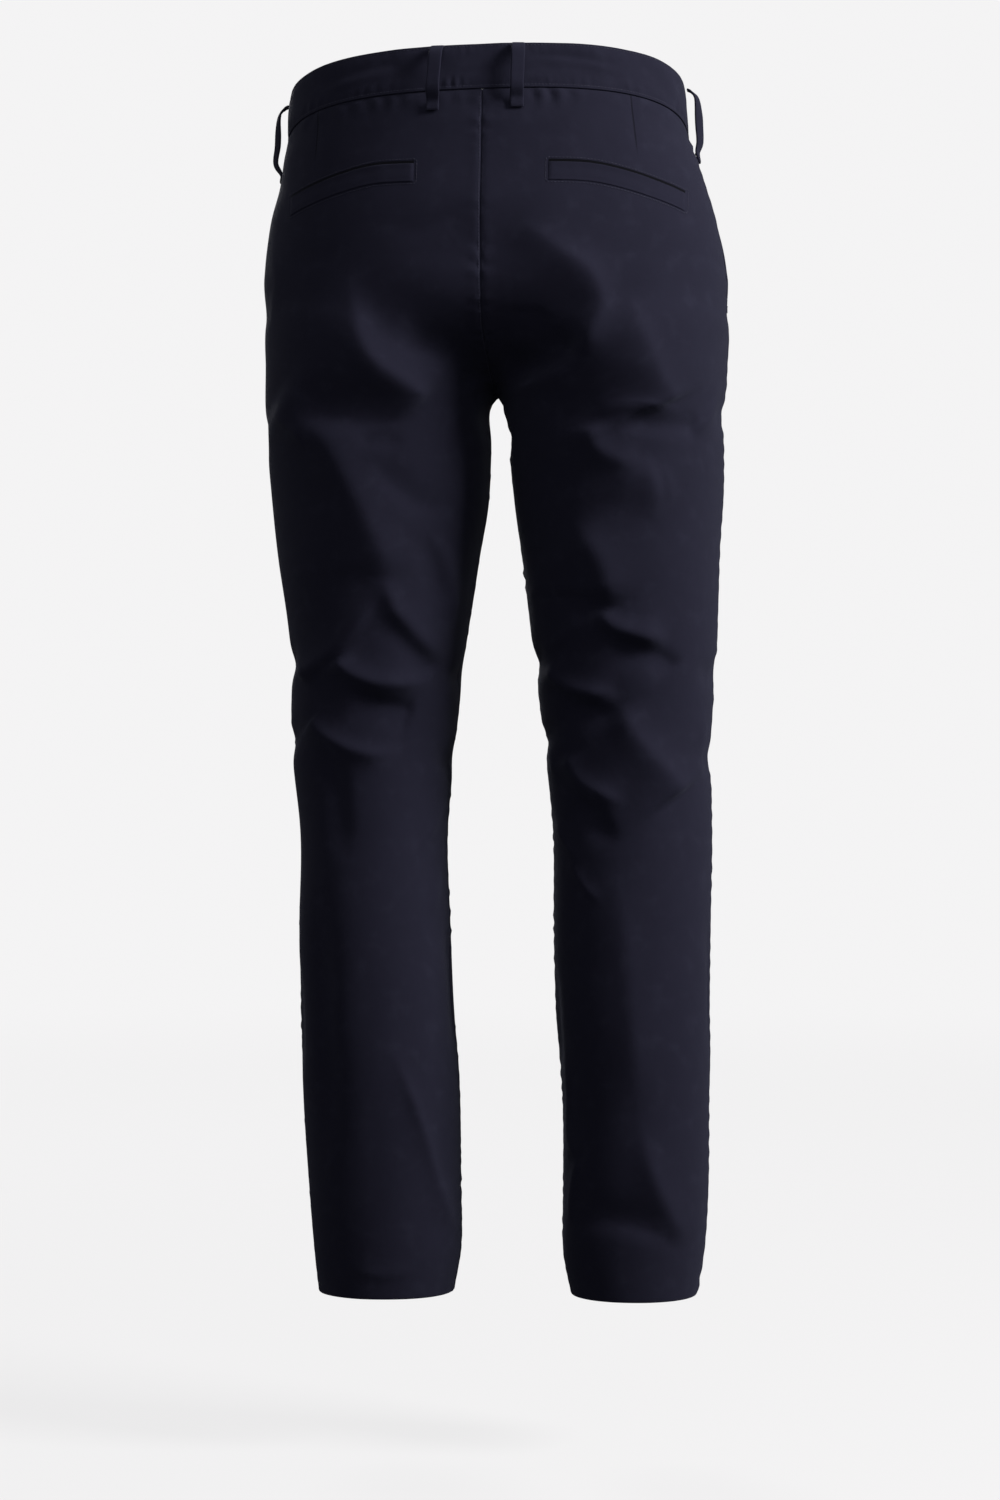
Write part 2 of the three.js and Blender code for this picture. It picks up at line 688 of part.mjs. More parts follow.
// Fly: shield, zip, slider with its pull, all beneath the lapped left front

function flyPatch(right, left, top, bottom, depth, thickness, columns) {
  const grid = [];
  for (let row = 0; row <= flyRows; row += 1) {
    const places = [];
    for (let col = 0; col <= columns; col += 1) {
      const x = mix(right, left, col / columns);
      const seam = waistLevel(x, pointOn(-1, x, 0).y);
      places.push(place(pointOn(-1, x, mix(seam + top, bottom, row / flyRows)), -depth));
    }
    grid.push(places);
  }
  return wallSolid(grid, thickness);
}

function zipSection() {
  const tapeBack = zip.tapeDepth + zip.tapeThickness;
  const chainBack = chain.depth + chain.thickness;
  return [
    [zip.tapeRight, zip.tapeDepth],
    [chain.right, zip.tapeDepth],
    [chain.right, chain.depth],
    [chain.left, chain.depth],
    [chain.left, zip.tapeDepth],
    [zip.tapeLeft, zip.tapeDepth],
    [zip.tapeLeft, tapeBack],
    [chain.left, tapeBack],
    [chain.left, chainBack],
    [chain.right, chainBack],
    [chain.right, tapeBack],
    [zip.tapeRight, tapeBack],
  ];
}

function zipSolid() {
  const rings = [];
  for (let row = 0; row <= flyRows; row += 1) {
    rings.push(zipSection().map(([x, depth]) => {
      const top = waistLevel(x, pointOn(-1, x, 0).y) - 1;
      return place(pointOn(-1, x, mix(top, zip.bottom, row / flyRows)), -depth).point;
    }));
  }
  return sweptSolid(rings);
}

// A small plate that lies along the fly, cut to an outline of half widths from top to bottom.

function flyPlate(outline, middleX, top, depth, thickness) {
  const onCloth = pointOn(-1, middleX, top);
  const lower = pointOn(-1, middleX, top - slider.length);
  const normal = outward(onCloth);
  const down = lower.sub(onCloth).normalize();
  const across = down.clone().cross(normal).normalize();
  const out = across.clone().cross(down).normalize();
  const shape = new THREE.Shape(outline.map(([x, y]) => new THREE.Vector2(x, -y)));
  const geometry = new THREE.ExtrudeGeometry(shape, { depth: thickness, bevelEnabled: false, curveSegments: 6 });
  const frame = new THREE.Matrix4().makeBasis(across, down.clone().negate(), out.clone());
  const origin = onCloth.clone().addScaledVector(out, -depth - thickness);
  if (frame.determinant() < 0) frame.makeBasis(across.negate(), down.clone().negate(), out.clone());
  geometry.applyMatrix4(frame.setPosition(origin));
  return geometry;
}

function sliderOutline(grow) {
  const half = slider.width / 2 + grow;
  const waist = half - slider.taper;
  return [
    [-half, -grow],
    [half, -grow],
    [half, slider.length * 0.4],
    [waist, slider.length + grow],
    [-waist, slider.length + grow],
    [-half, slider.length * 0.4],
  ];
}

function pullOutline() {
  const half = pull.width / 2;
  const corner = pull.corner;
  return [
    [-half + corner, 0],
    [half - corner, 0],
    [half, corner],
    [half, pull.length - corner],
    [half - corner, pull.length],
    [-half + corner, pull.length],
    [-half, pull.length - corner],
    [-half, corner],
  ];
}

const chainMiddle = (chain.left + chain.right) / 2;
const flyTop = waistLevel(0, -hip.front(0));

function sliderSolid(grow) {
  const depth = slider.depth - grow;
  const thickness = slider.thickness + 2 * grow;
  return flyPlate(sliderOutline(grow), chainMiddle, flyTop + slider.top, depth, thickness);
}

// Joining and cutting

function toManifold(geometry) {
  const bare = geometry.clone();
  bare.deleteAttribute('normal');
  bare.deleteAttribute('uv');
  const merged = mergeVertices(bare, 1e-4);
  return new wasm.Manifold(new wasm.Mesh({
    numProp: 3,
    vertProperties: merged.getAttribute('position').array,
    triVerts: Uint32Array.from(merged.getIndex().array),
  }));
}

function fromManifold(manifold) {
  const mesh = manifold.getMesh();
  const geometry = new THREE.BufferGeometry();
  geometry.setAttribute('position', new THREE.BufferAttribute(mesh.vertProperties, 3));
  geometry.setIndex(new THREE.BufferAttribute(mesh.triVerts, 1));
  return geometry;
}

// The waist button: a dished disc with a raised rim, on the lapped end of the band.

function buttonMesh() {
  const radius = button.diameter / 2;
  const profile = [
    [0, 0],
    [radius - 0.8, 0],
    [radius, 0.8],
    [radius, button.thickness - 0.6],
    [radius - 0.6, button.thickness],
    [radius - button.rim - 0.8, button.thickness],
    [radius - button.rim - 1.6, button.thickness - button.dish],
    [0, button.thickness - button.dish],
  ];
  const geometry = new THREE.LatheGeometry(profile.map(([x, y]) => new THREE.Vector2(x, y)), 32);
  const x = button.fromEnd - band.overlapEnd;
  const frontReach = hip.front(0) + hipMiddle;
  const onBand = bandPlace(Math.atan(x / frontReach), band.height / 2);
  const normal = outward(onBand);
  const mesh = new THREE.Mesh(geometry, hornLike());
  mesh.position.copy(onBand).addScaledVector(normal, band.proud + seamGap);
  mesh.quaternion.setFromUnitVectors(vector(0, 1, 0), normal);
  return mesh;
}

// Materials

function twill() {
  return new THREE.MeshStandardMaterial({ color: 0x1b1b2a, roughness: 0.92, metalness: 0 });
}

function hornLike() {
  return new THREE.MeshStandardMaterial({ color: 0x16161f, roughness: 0.4, metalness: 0 });
}

function brass() {
  return new THREE.MeshStandardMaterial({ color: 0x8a7a50, roughness: 0.35, metalness: 1 });
}

// The trousers

const trousers = new THREE.Group();

function add(name, shape) {
  const mesh = shape.isMesh ? shape : new THREE.Mesh(shape, twill());
  mesh.name = name;
  trousers.add(mesh);
  return mesh;
}

for (const side of ['left', 'right']) {
  for (const face of ['back', 'front']) {
    add(`${face}_${side}`, panel(side, face));
  }
  add(`back_welt_${side}`, weltSolid(side));
  add(`pocket_facing_${side}`, pocketFacing(side));
}

add('waistband', bandSolid());
for (const row of loopTable) {
  add(row.name, loopSolid(row));
}

add('fly_shield', flyPatch(shield.right, shield.left, -1, shield.bottom, shield.depth, shield.thickness, 4));
const zipWithSeat = toManifold(zipSolid()).subtract(toManifold(sliderSolid(slider.clearance)));
add('zip', fromManifold(zipWithSeat));
add('zip_slider', new THREE.Mesh(sliderSolid(0), brass()));
const pullPlate = flyPlate(pullOutline(), chainMiddle, flyTop + pull.top, pull.depth, pull.thickness);
add('zip_pull', new THREE.Mesh(pullPlate, brass()));
add('waist_button', buttonMesh());

export default trousers;
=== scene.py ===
# %% [markdown]
# # Chino trousers in their worn form
# A maker cuts chinos from two backs, two fronts and a waistband, and adds pocket pieces, belt loops, a fly
# and a button. Here each of those is one piece of thin cloth, laid over the solid of the same name. The cloth
# is not simulated: its form comes from a few tables of sizes, and every fold is listed one by one, because
# the folds of trousers in wear follow one stance, and a simulation would bring folds of its own.

# %% Load the solids that the cloth lies on
import json
import math

import bpy
import numpy as np
from mathutils import Matrix, Vector

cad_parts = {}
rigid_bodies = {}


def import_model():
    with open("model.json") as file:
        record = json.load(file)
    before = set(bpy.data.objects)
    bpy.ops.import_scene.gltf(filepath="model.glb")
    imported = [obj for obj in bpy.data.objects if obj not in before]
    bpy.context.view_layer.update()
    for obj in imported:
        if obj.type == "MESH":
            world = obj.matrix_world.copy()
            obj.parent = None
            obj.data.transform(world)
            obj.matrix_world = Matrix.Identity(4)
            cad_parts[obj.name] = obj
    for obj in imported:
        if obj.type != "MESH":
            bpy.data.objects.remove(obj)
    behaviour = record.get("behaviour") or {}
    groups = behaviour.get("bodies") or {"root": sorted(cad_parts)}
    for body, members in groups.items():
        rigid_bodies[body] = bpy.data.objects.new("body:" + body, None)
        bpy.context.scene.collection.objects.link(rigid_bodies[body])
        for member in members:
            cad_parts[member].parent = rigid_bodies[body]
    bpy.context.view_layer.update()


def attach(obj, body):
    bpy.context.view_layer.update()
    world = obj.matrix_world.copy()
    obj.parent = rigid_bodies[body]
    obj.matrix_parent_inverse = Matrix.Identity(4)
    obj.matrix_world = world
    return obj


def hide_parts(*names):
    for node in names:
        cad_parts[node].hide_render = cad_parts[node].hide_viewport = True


for leftover in list(bpy.data.objects):
    bpy.data.objects.remove(leftover)
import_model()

# %% [markdown]
# ## Camera and light
# The trousers are seen from behind and a little from their right, from about three metres, with the camera
# level at knee height. A long lens keeps the legs parallel. The main light is one soft source on the right of
# the picture that rakes the cloth, so that each fold has a lit flank and a dark flank. A weak one near the
# camera and one on the far side open the shade. The background is bright for the camera only, because as
# much light from all round would flatten the folds.

# %% Camera
CAMERA_DISTANCE = 3.0
CAMERA_AZIMUTH = math.radians(185)
CAMERA_HEIGHT = -0.523
CAMERA_ASIDE = 0.0042
LENS_MM = 85.7


def in_scene(name, data):
    """A new object with that data, linked to the scene."""
    thing = bpy.data.objects.new(name, data)
    bpy.context.scene.collection.objects.link(thing)
    return thing


away = Vector((math.sin(CAMERA_AZIMUTH), -math.cos(CAMERA_AZIMUTH), 0))
rightward = Vector((0, 0, 1)).cross(away)
camera = in_scene("camera", bpy.data.cameras.new("camera"))
camera.data.lens = LENS_MM
camera.location = away * CAMERA_DISTANCE + rightward * CAMERA_ASIDE + Vector((0, 0, CAMERA_HEIGHT))
camera.rotation_euler = (-away).to_track_quat("-Z", "Y").to_euler()
bpy.context.scene.camera = camera
print("camera at", [round(v, 3) for v in camera.location])

# %% Lights
STUDIO_TONE = (0.905, 0.9, 0.905, 1)
LIGHT_ALL_ROUND = 0.52
LIGHTS_AIM = Vector((0, 0, -0.45))


def area_light(name, place, size, power, colour):
    data = bpy.data.lights.new(name, "AREA")
    data.shape = "RECTANGLE"
    data.size, data.size_y = size
    data.energy = power
    data.color = colour
    light = in_scene(name, data)
    light.location = place
    light.rotation_euler = (LIGHTS_AIM - Vector(place)).to_track_quat("-Z", "Y").to_euler()


def make_studio_world():
    """An even background: bright where the camera sees it, dimmer as a light on the cloth."""
    world = bpy.data.worlds.new("studio")
    world.use_nodes = True
    tree = world.node_tree
    background = tree.nodes["Background"]
    background.inputs["Color"].default_value = STUDIO_TONE
    seen = tree.nodes.new("ShaderNodeLightPath")
    strength = tree.nodes.new("ShaderNodeMapRange")
    strength.inputs["To Min"].default_value = LIGHT_ALL_ROUND
    strength.inputs["To Max"].default_value = 1.0
    tree.links.new(seen.outputs["Is Camera Ray"], strength.inputs["Value"])
    tree.links.new(strength.outputs["Result"], background.inputs["Strength"])
    bpy.context.scene.world = world


area_light("key_light", (-2.8, 1.06, 1.4), (1.2, 1.3), 315, (1.0, 0.98, 0.96))
area_light("fill_light", (-0.4, 3.4, 1.1), (1.6, 1.4), 26, (0.97, 0.98, 1.0))
area_light("front_light", (0.9, -2.9, 1.6), (1.2, 1.4), 120, (1.0, 0.99, 0.98))
make_studio_world()
bpy.context.scene.view_settings.view_transform = "Standard"

# %% [markdown]
# ## Studio floor
# A pale round floor that fades out into the even tone of the studio has no horizon from any side. It is a
# flat disc whose paint grows clear with the distance from its middle, which is simpler than a curved wall.
# Most of its paleness is a glow that only the camera sees, so that it throws no light up at the cloth.

# %% Floor
FLOOR_LEVEL = -1.108
FLOOR_RADIUS = 7.0
FLOOR_FADE = (1.2, 5.5)
FLOOR_STEPS = 96
FLOOR_GLOW = 0.86
FLOOR_PAINT = (0.05, 0.05, 0.051, 1)


def floor_disc():
    turns = [2 * math.pi * i / FLOOR_STEPS for i in range(FLOOR_STEPS)]
    rim = [(FLOOR_RADIUS * math.cos(turn), FLOOR_RADIUS * math.sin(turn), FLOOR_LEVEL) for turn in turns]
    faces = [(0, 1 + i, 1 + (i + 1) % FLOOR_STEPS) for i in range(FLOOR_STEPS)]
    mesh = bpy.data.meshes.new("studio_floor")
    mesh.from_pydata([(0, 0, FLOOR_LEVEL)] + rim, [], faces)
    return in_scene("studio_floor", mesh)


def studio_paint():
    """Matt paint with a glow for the camera, growing clear toward the rim."""
    paint = bpy.data.materials.new("studio_paint")
    paint.use_nodes = True
    tree = paint.node_tree
    shader = tree.nodes["Principled BSDF"]
    shader.inputs["Base Color"].default_value = FLOOR_PAINT
    shader.inputs["Roughness"].default_value = 0.9
    shader.inputs["Specular IOR Level"].default_value = 0.0
    shader.inputs["Emission Color"].default_value = STUDIO_TONE
    seen = tree.nodes.new("ShaderNodeLightPath")
    glow = tree.nodes.new("ShaderNodeMath")
    glow.operation = "MULTIPLY"
    glow.inputs[1].default_value = FLOOR_GLOW
    tree.links.new(seen.outputs["Is Camera Ray"], glow.inputs[0])
    tree.links.new(glow.outputs["Value"], shader.inputs["Emission Strength"])
    place = tree.nodes.new("ShaderNodeTexCoord")
    length = tree.nodes.new("ShaderNodeVectorMath")
    length.operation = "LENGTH"
    fade = tree.nodes.new("ShaderNodeMapRange")
    fade.interpolation_type = "SMOOTHSTEP"
    for name, value in zip(("From Min", "From Max", "To Min", "To Max"), (*FLOOR_FADE, 1, 0)):
        fade.inputs[name].default_value = value
    tree.links.new(place.outputs["Object"], length.inputs[0])
    tree.links.new(length.outputs["Value"], fade.inputs["Value"])
    tree.links.new(fade.outputs["Result"], shader.inputs["Alpha"])
    return paint


floor = floor_disc()
floor.data.materials.append(studio_paint())
print("floor faces:", len(floor.data.polygons))

# %% [markdown]
# ## Sizes of the garment
# All garment sizes are in millimetres, and the origin is the middle of the waist opening. The tables say how
# far the cloth reaches at each level, as a cutter would measure it round hips, thigh, knee and hem.

# %% Tables of the hips and legs
HIPS = {
    "level": [60, 30, 8, -14, -28, -53, -78, -103, -130],
    "left": [168, 170.5, 172, 173, 176, 180, 187, 190.5, 193],
    "right": [156, 159, 160.5, 163, 168.5, 177, 185, 190, 193.5],
    "back": [109, 113.5, 118.5, 123.5, 125.5, 130, 135, 138, 139],
    "front": [104, 107, 110, 112.5, 114, 115, 115, 114, 112],
}
LEG_LEVELS = [-60, -120, -165, -205, -240, -310, -363, -439, -515, -590, -666, -741, -817, -893, -940, -976]
LEG_DEPTHS = {
    "back": [70, 104, 122, 123, 114, 100, 92, 80, 69, 70, 76, 79, 77, 73, 70, 67],
    "front": [60, 86, 98, 105, 108, 108, 104, 98, 88, 78, 68, 62, 57, 54, 52, 51],
    "middle": [4, 4, 3, 0, -4, -6, -8, -9, -8, -3, 3, 6, 8, 9, 9, 9],
}
LEFT_OUTER = [140, 176, 191, 192, 193, 188.5, 183, 173, 172.5, 164.5, 164, 163, 160, 155, 151, 147]
LEFT_INNER = [20, 10, 5, 2.5, 3.5, 6, 14.5, 26, 34.5, 40.5, 38, 34, 29, 28, 28, 34]
RIGHT_OUTER = [140, 178, 195, 194.5, 193, 191, 188, 186, 181, 182, 181, 181, 180, 179, 176, 170]
RIGHT_INNER = [20, 10, 5, 7.5, 8.5, 16, 23, 32, 41, 49, 50, 52, 58, 58, 58.5, 65]
HIP_MIDDLE = 4
SEAT_LEVEL = -130
SEAT_ROUNDING = 82
HIP_POWER = 2.25
LEG_POWER = 2.15
LEG_TOP = -60
LEGS_BLEND = 8
SEAT_BLEND = {"middle": 34, "side": 14, "reach": 70}
CROTCH_LEVEL = -232
CROTCH_SIDE_LEVEL = -250
HEM_LEVEL = -976
WAIST_SEAM = {"middle": -8.8, "tilt": 0.283, "dip": 0.00095, "lean": 0.022}
WAIST_SIDES = {"dip": 5.7, "reach": 168}
SEAM_DRIFT = {"reach": -2.5, "from": 180, "to": 228}
print("leg levels:", len(LEG_LEVELS), "from", LEG_LEVELS[0], "to", LEG_LEVELS[-1], "mm")


# %% Smooth columns of those tables
def smooth_column(levels, values):
    """Reads a table column smoothly: slopes at each row, then a fine list that numpy can look up."""
    order = np.argsort(levels)
    x = np.array(levels, float)[order]
    y = np.array(values, float)[order]
    slopes = np.empty_like(y)
    slopes[1:-1] = (y[2:] - y[:-2]) / (x[2:] - x[:-2])
    slopes[0] = (y[1] - y[0]) / (x[1] - x[0])
    slopes[-1] = (y[-1] - y[-2]) / (x[-1] - x[-2])
    fine = np.arange(x[0], x[-1] + 0.25, 0.5)
    i = np.clip(np.searchsorted(x, fine, side="right") - 1, 0, len(x) - 2)
    span = x[i + 1] - x[i]
    t = (fine - x[i]) / span
    start = y[i] * (1 + 2 * t) * (1 - t) ** 2 + slopes[i] * span * t * (1 - t) ** 2
    end = y[i + 1] * t * t * (3 - 2 * t) + slopes[i + 1] * span * t * t * (t - 1)
    return lambda level: np.interp(level, fine, start + end)


hip = {name: smooth_column(HIPS["level"], HIPS[name]) for name in ("left", "right", "back", "front")}
depths = {name: smooth_column(LEG_LEVELS, column) for name, column in LEG_DEPTHS.items()}
legs = {
    1: {"outer": smooth_column(LEG_LEVELS, LEFT_OUTER), "inner": smooth_column(LEG_LEVELS, LEFT_INNER)},
    -1: {"outer": smooth_column(LEG_LEVELS, RIGHT_OUTER), "inner": smooth_column(LEG_LEVELS, RIGHT_INNER)},
}
print("half width of the hips at -100:", round(float(hip["left"](-100)), 1))

# %% [markdown]
# ## The form that the cloth hangs on
# A general figure of hips and two legs, written as a distance that is zero on the cloth's outside. Rounded
# outlines are joined softly at the crotch. The same sums made the solids, so the cloth fits them everywhere.


# %% Distance to the form
def ease(low, high, value):
    t = np.clip((value - low) / (high - low), 0, 1)
    return t * t * (3 - 2 * t)


def mix(a, b, t):
    return a + (b - a) * t


def bell(value, width):
    """1 at 0 and smoothly less on both sides, with little left at twice the width."""
    return np.exp(-((value / width) ** 2))


def rounded(reach, total, power):
    return reach - reach / np.maximum(total ** (1 / power), 1e-6)


def hip_distance(x, y, z):
    level = np.maximum(z, SEAT_LEVEL)
    below = np.minimum(z - SEAT_LEVEL, 0)
    across = y - HIP_MIDDLE
    half_width = np.where(x > 0, hip["left"](level), hip["right"](level))
    depth = np.where(across > 0, hip["back"](level) - HIP_MIDDLE, hip["front"](level) + HIP_MIDDLE)
    total = np.abs(x / half_width) ** HIP_POWER + np.abs(across / depth) ** HIP_POWER
    total = total + np.abs(below / SEAT_ROUNDING) ** HIP_POWER
    return rounded(np.sqrt(x * x + across * across + below * below), total, HIP_POWER)


def leg_distance(sign, x, y, z):
    outer = legs[sign]["outer"](z)
    inner = legs[sign]["inner"](z)
    middle = depths["middle"](z)
    across = sign * x - (outer + inner) / 2
    along = y - middle
    depth = np.where(along > 0, depths["back"](z) - middle, depths["front"](z) + middle)
    total = np.abs(across / ((outer - inner) / 2)) ** LEG_POWER + np.abs(along / depth) ** LEG_POWER
    return rounded(np.sqrt(across * across + along * along), total, LEG_POWER) + np.maximum(z - LEG_TOP, 0)


def soft_union(a, b, radius):
    near = np.maximum(radius - np.abs(a - b), 0) / radius
    return np.minimum(a, b) - near * near * radius / 4


def figure(x, y, z):
    both_legs = soft_union(leg_distance(1, x, y, z), leg_distance(-1, x, y, z), LEGS_BLEND)
    near_middle = bell(x, SEAT_BLEND["reach"])
    radius = mix(SEAT_BLEND["side"], SEAT_BLEND["middle"], near_middle)
    return soft_union(hip_distance(x, y, z), both_legs, radius)


def outward(points):
    """The direction that points out of the form, for an array of points."""
    x, y, z = points[..., 0], points[..., 1], points[..., 2]
    step = 0.5
    normal = np.stack(
        [
            figure(x + step, y, z) - figure(x - step, y, z),
            figure(x, y + step, z) - figure(x, y - step, z),
            figure(x, y, z + step) - figure(x, y, z - step),
        ],
        axis=-1,
    )
    return normal / np.linalg.norm(normal, axis=-1, keepdims=True)


print("halfway up a rise:", float(ease(0, 1, 0.5)))


# %% Walking out to the cloth
STRIDE = 12.0
FARTHEST = 330.0


def crossing(path, shape, own_side=None):
    """Walks out along many paths at once until each crosses the form, then closes in on the crossing."""

    def is_inside(distance):
        x, y, z = path(distance)
        inside = figure(x, y, z) < 0
        return inside if own_side is None else inside & own_side(x, z)

    inside = np.zeros(shape)
    outside = np.full(shape, STRIDE)
    walking = np.ones(shape, bool)
    while walking.any() and outside.max() < FARTHEST:
        walking = walking & is_inside(outside)
        inside = np.where(walking, outside, inside)
        outside = np.where(walking, outside + STRIDE, outside)
    for _ in range(17):
        halfway = (inside + outside) / 2
        further = is_inside(halfway)
        inside = np.where(further, halfway, inside)
        outside = np.where(further, outside, halfway)
    return np.stack(np.broadcast_arrays(*path(inside)), axis=-1)


def point_on(facing, x, z):
    """Points on the back (1) or the front (-1) at given places across and levels."""
    x, z = np.broadcast_arrays(np.asarray(x, float), np.asarray(z, float))
    return crossing(lambda t: (x, HIP_MIDDLE + facing * t, z), x.shape)


def waist_level(x, y):
    sides = WAIST_SIDES["dip"] * (x / WAIST_SIDES["reach"]) ** 4 + WAIST_SEAM["lean"] * x
    return WAIST_SEAM["middle"] + WAIST_SEAM["tilt"] * y - WAIST_SEAM["dip"] * np.maximum(y, 0) ** 2 - sides


def middle_x(z):
    return SEAM_DRIFT["reach"] * ease(SEAM_DRIFT["from"], SEAM_DRIFT["to"], -np.asarray(z, float))


print("back of the waist seam:", np.round(point_on(1, 0, waist_level(0, 117)), 1))

# %% [markdown]
# ## Folds
# Cotton twill in wear buckles where the form bends: under the seat, behind the knee, at the front of the
# crotch and above the hem. Each fold is a soft ridge or hollow along a bent line. Its two flanks have widths
# of their own, because a real fold is steep on one side and slack on the other, and it runs out at both ends.

# %% Table of folds on the back
# line: places across and levels. height: plus is a ridge, minus a hollow. flanks: how wide the fold is on
# each side of its line, first on the left of someone who draws the line with x to the right and levels up.
# start and end: over what share of the line the fold grows and runs out, where it isn't the usual RUN_OUT.
SEAT_FOLDS = [
    {"line": [(111, -127), (104, -162), (98, -191), (85, -210), (66, -224), (44, -241)],
     "height": 6.6, "flanks": (26, 15), "start": 0.55, "end": 0.12},
    {"line": [(168, -235), (129, -250), (89, -255), (46, -247)], "height": -4.2, "flanks": (10, 22)},
    {"line": [(72, -193), (37, -198), (17, -210), (6, -224)],
     "height": -4.0, "flanks": (10, 15), "end": 0.1},
    {"line": [(175, -227), (148, -251), (127, -274), (110, -305), (95, -338), (84, -368), (84, -403)],
     "height": 6.4, "flanks": (32, 24), "start": 0.12, "end": 0.22},
    {"line": [(176, -243), (154, -257), (138, -279)], "height": 1.6, "flanks": (8, 6)},
    {"line": [(109, -269), (86, -272), (61, -270)], "height": -1.6, "flanks": (7, 8)},
    {"line": [(94, -282), (73, -307), (49, -322), (24, -312)], "height": -2.4, "flanks": (9, 15)},
    {"line": [(55, -341), (43, -373), (38, -412)], "height": -2.4, "flanks": (12, 7)},
    {"line": [(42, -344), (33, -386), (30, -427)], "height": 2.2, "flanks": (7, 8)},
    {"line": [(0, -77), (-5, -129), (-6, -183), (-1, -220)], "height": -3.4, "flanks": (46, 40)},
    {"line": [(-25, -96), (-58, -120), (-84, -138), (-95, -159), (-92, -180), (-82, -197), (-66, -211)],
     "height": 6.5, "flanks": (30, 15), "start": 0.4, "end": 0.2},
    {"line": [(-12, -214), (-44, -210), (-68, -198), (-85, -179)],
     "height": -5.5, "flanks": (9, 14), "start": 0.15},
    {"line": [(-12, -227), (-39, -225), (-68, -216), (-86, -204)], "height": 2.0, "flanks": (10, 6)},
    {"line": [(-114, -153), (-127, -187), (-139, -217), (-152, -243)],
     "height": 5.2, "flanks": (36, 16), "start": 0.4, "end": 0.08},
    {"line": [(-47, -251), (-73, -252), (-102, -248)], "height": -1.6, "flanks": (8, 16)},
    {"line": [(-91, -254), (-114, -245), (-137, -244), (-165, -251)], "height": 1.8, "flanks": (7, 6)},
    {"line": [(-110, -257), (-142, -260), (-174, -259)], "height": -2.4, "flanks": (8, 9), "end": 0.1},
    {"line": [(-86, -257), (-91, -275), (-106, -286), (-133, -293)],
     "height": 4.2, "flanks": (18, 14), "start": 0.15},
    {"line": [(-127, -285), (-137, -312), (-136, -344)],
     "height": 3.8, "flanks": (26, 10), "start": 0.3, "end": 0.6},
    {"line": [(-146, -291), (-149, -305), (-149, -323)], "height": 0.9, "flanks": (4, 4)},
    {"line": [(-66, -334), (-83, -353), (-95, -372), (-100, -392), (-97, -412)],
     "height": 6.0, "flanks": (30, 20), "end": 0.3},
    {"line": [(-191, -219), (-184, -244), (-170, -269)], "height": 1.8, "flanks": (5, 6), "start": 0.2},
    {"line": [(81, -111), (38, -101), (1, -81)], "height": -1.1, "flanks": (8, 10)},
    {"line": [(182, -103), (173, -138), (183, -181)], "height": 1.4, "flanks": (8, 12)},
]
KNEE_FOLDS = [
    {"line": [(80, -382), (106, -420), (128, -443), (162, -464)],
     "height": 3.9, "flanks": (12, 9), "start": 0.4, "end": 0.1},
    {"line": [(84, -378), (77, -405), (60, -430), (37, -451)],
     "height": 4.8, "flanks": (11, 16), "start": 0.25, "end": 0.3},
    {"line": [(83, -409), (64, -434), (46, -460)], "height": -2.7, "flanks": (13, 8), "end": 0.12},
    {"line": [(125, -447), (112, -459), (90, -467), (63, -467), (42, -463)],
     "height": 4.6, "flanks": (11, 11), "start": 0.06},
    {"line": [(115, -473), (94, -484), (77, -488), (60, -493)],
     "height": -3.4, "flanks": (17, 8), "end": 0.12},
    {"line": [(148, -497), (134, -511), (113, -522), (92, -526), (70, -521)],
     "height": 3.8, "flanks": (12, 9), "start": 0.06},
    {"line": [(143, -516), (129, -540), (123, -579), (122, -620)], "height": -2.8, "flanks": (13, 10)},
    {"line": [(26, -442), (31, -456), (38, -476)], "height": 1.6, "flanks": (4, 5)},
    {"line": [(39, -560), (47, -583), (58, -605)], "height": 1.4, "flanks": (4, 4)},
    {"line": [(-95, -407), (-101, -419), (-118, -427), (-151, -435)],
     "height": 5.6, "flanks": (10, 16), "start": 0.16},
    {"line": [(-97, -430), (-120, -441), (-143, -448), (-156, -459)],
     "height": -3.2, "flanks": (15, 8), "end": 0.1},
    {"line": [(-48, -438), (-63, -430), (-78, -410)], "height": 1.8, "flanks": (6, 8)},
    {"line": [(-46, -450), (-58, -464), (-80, -475), (-110, -477)],
     "height": 4.4, "flanks": (9, 10), "start": 0.2},
    {"line": [(-60, -477), (-86, -491), (-116, -501)], "height": -2.8, "flanks": (17, 8)},
    {"line": [(-108, -485), (-120, -510), (-137, -532), (-159, -560)],
     "height": 5.4, "flanks": (26, 15), "start": 0.2, "end": 0.08},
    {"line": [(-64, -524), (-76, -547), (-94, -559), (-116, -569)],
     "height": 3.8, "flanks": (11, 10), "start": 0.16},
    {"line": [(-68, -559), (-88, -579), (-106, -604)], "height": -3.4, "flanks": (14, 8)},
    {"line": [(-40, -500), (-47, -524), (-58, -550)], "height": 1.4, "flanks": (4, 5)},
    {"line": [(-49, -576), (-61, -597), (-77, -618)], "height": 1.4, "flanks": (4, 5)},
    {"line": [(-180, -488), (-176, -514), (-174, -550)], "height": 1.8, "flanks": (6, 7)},
]
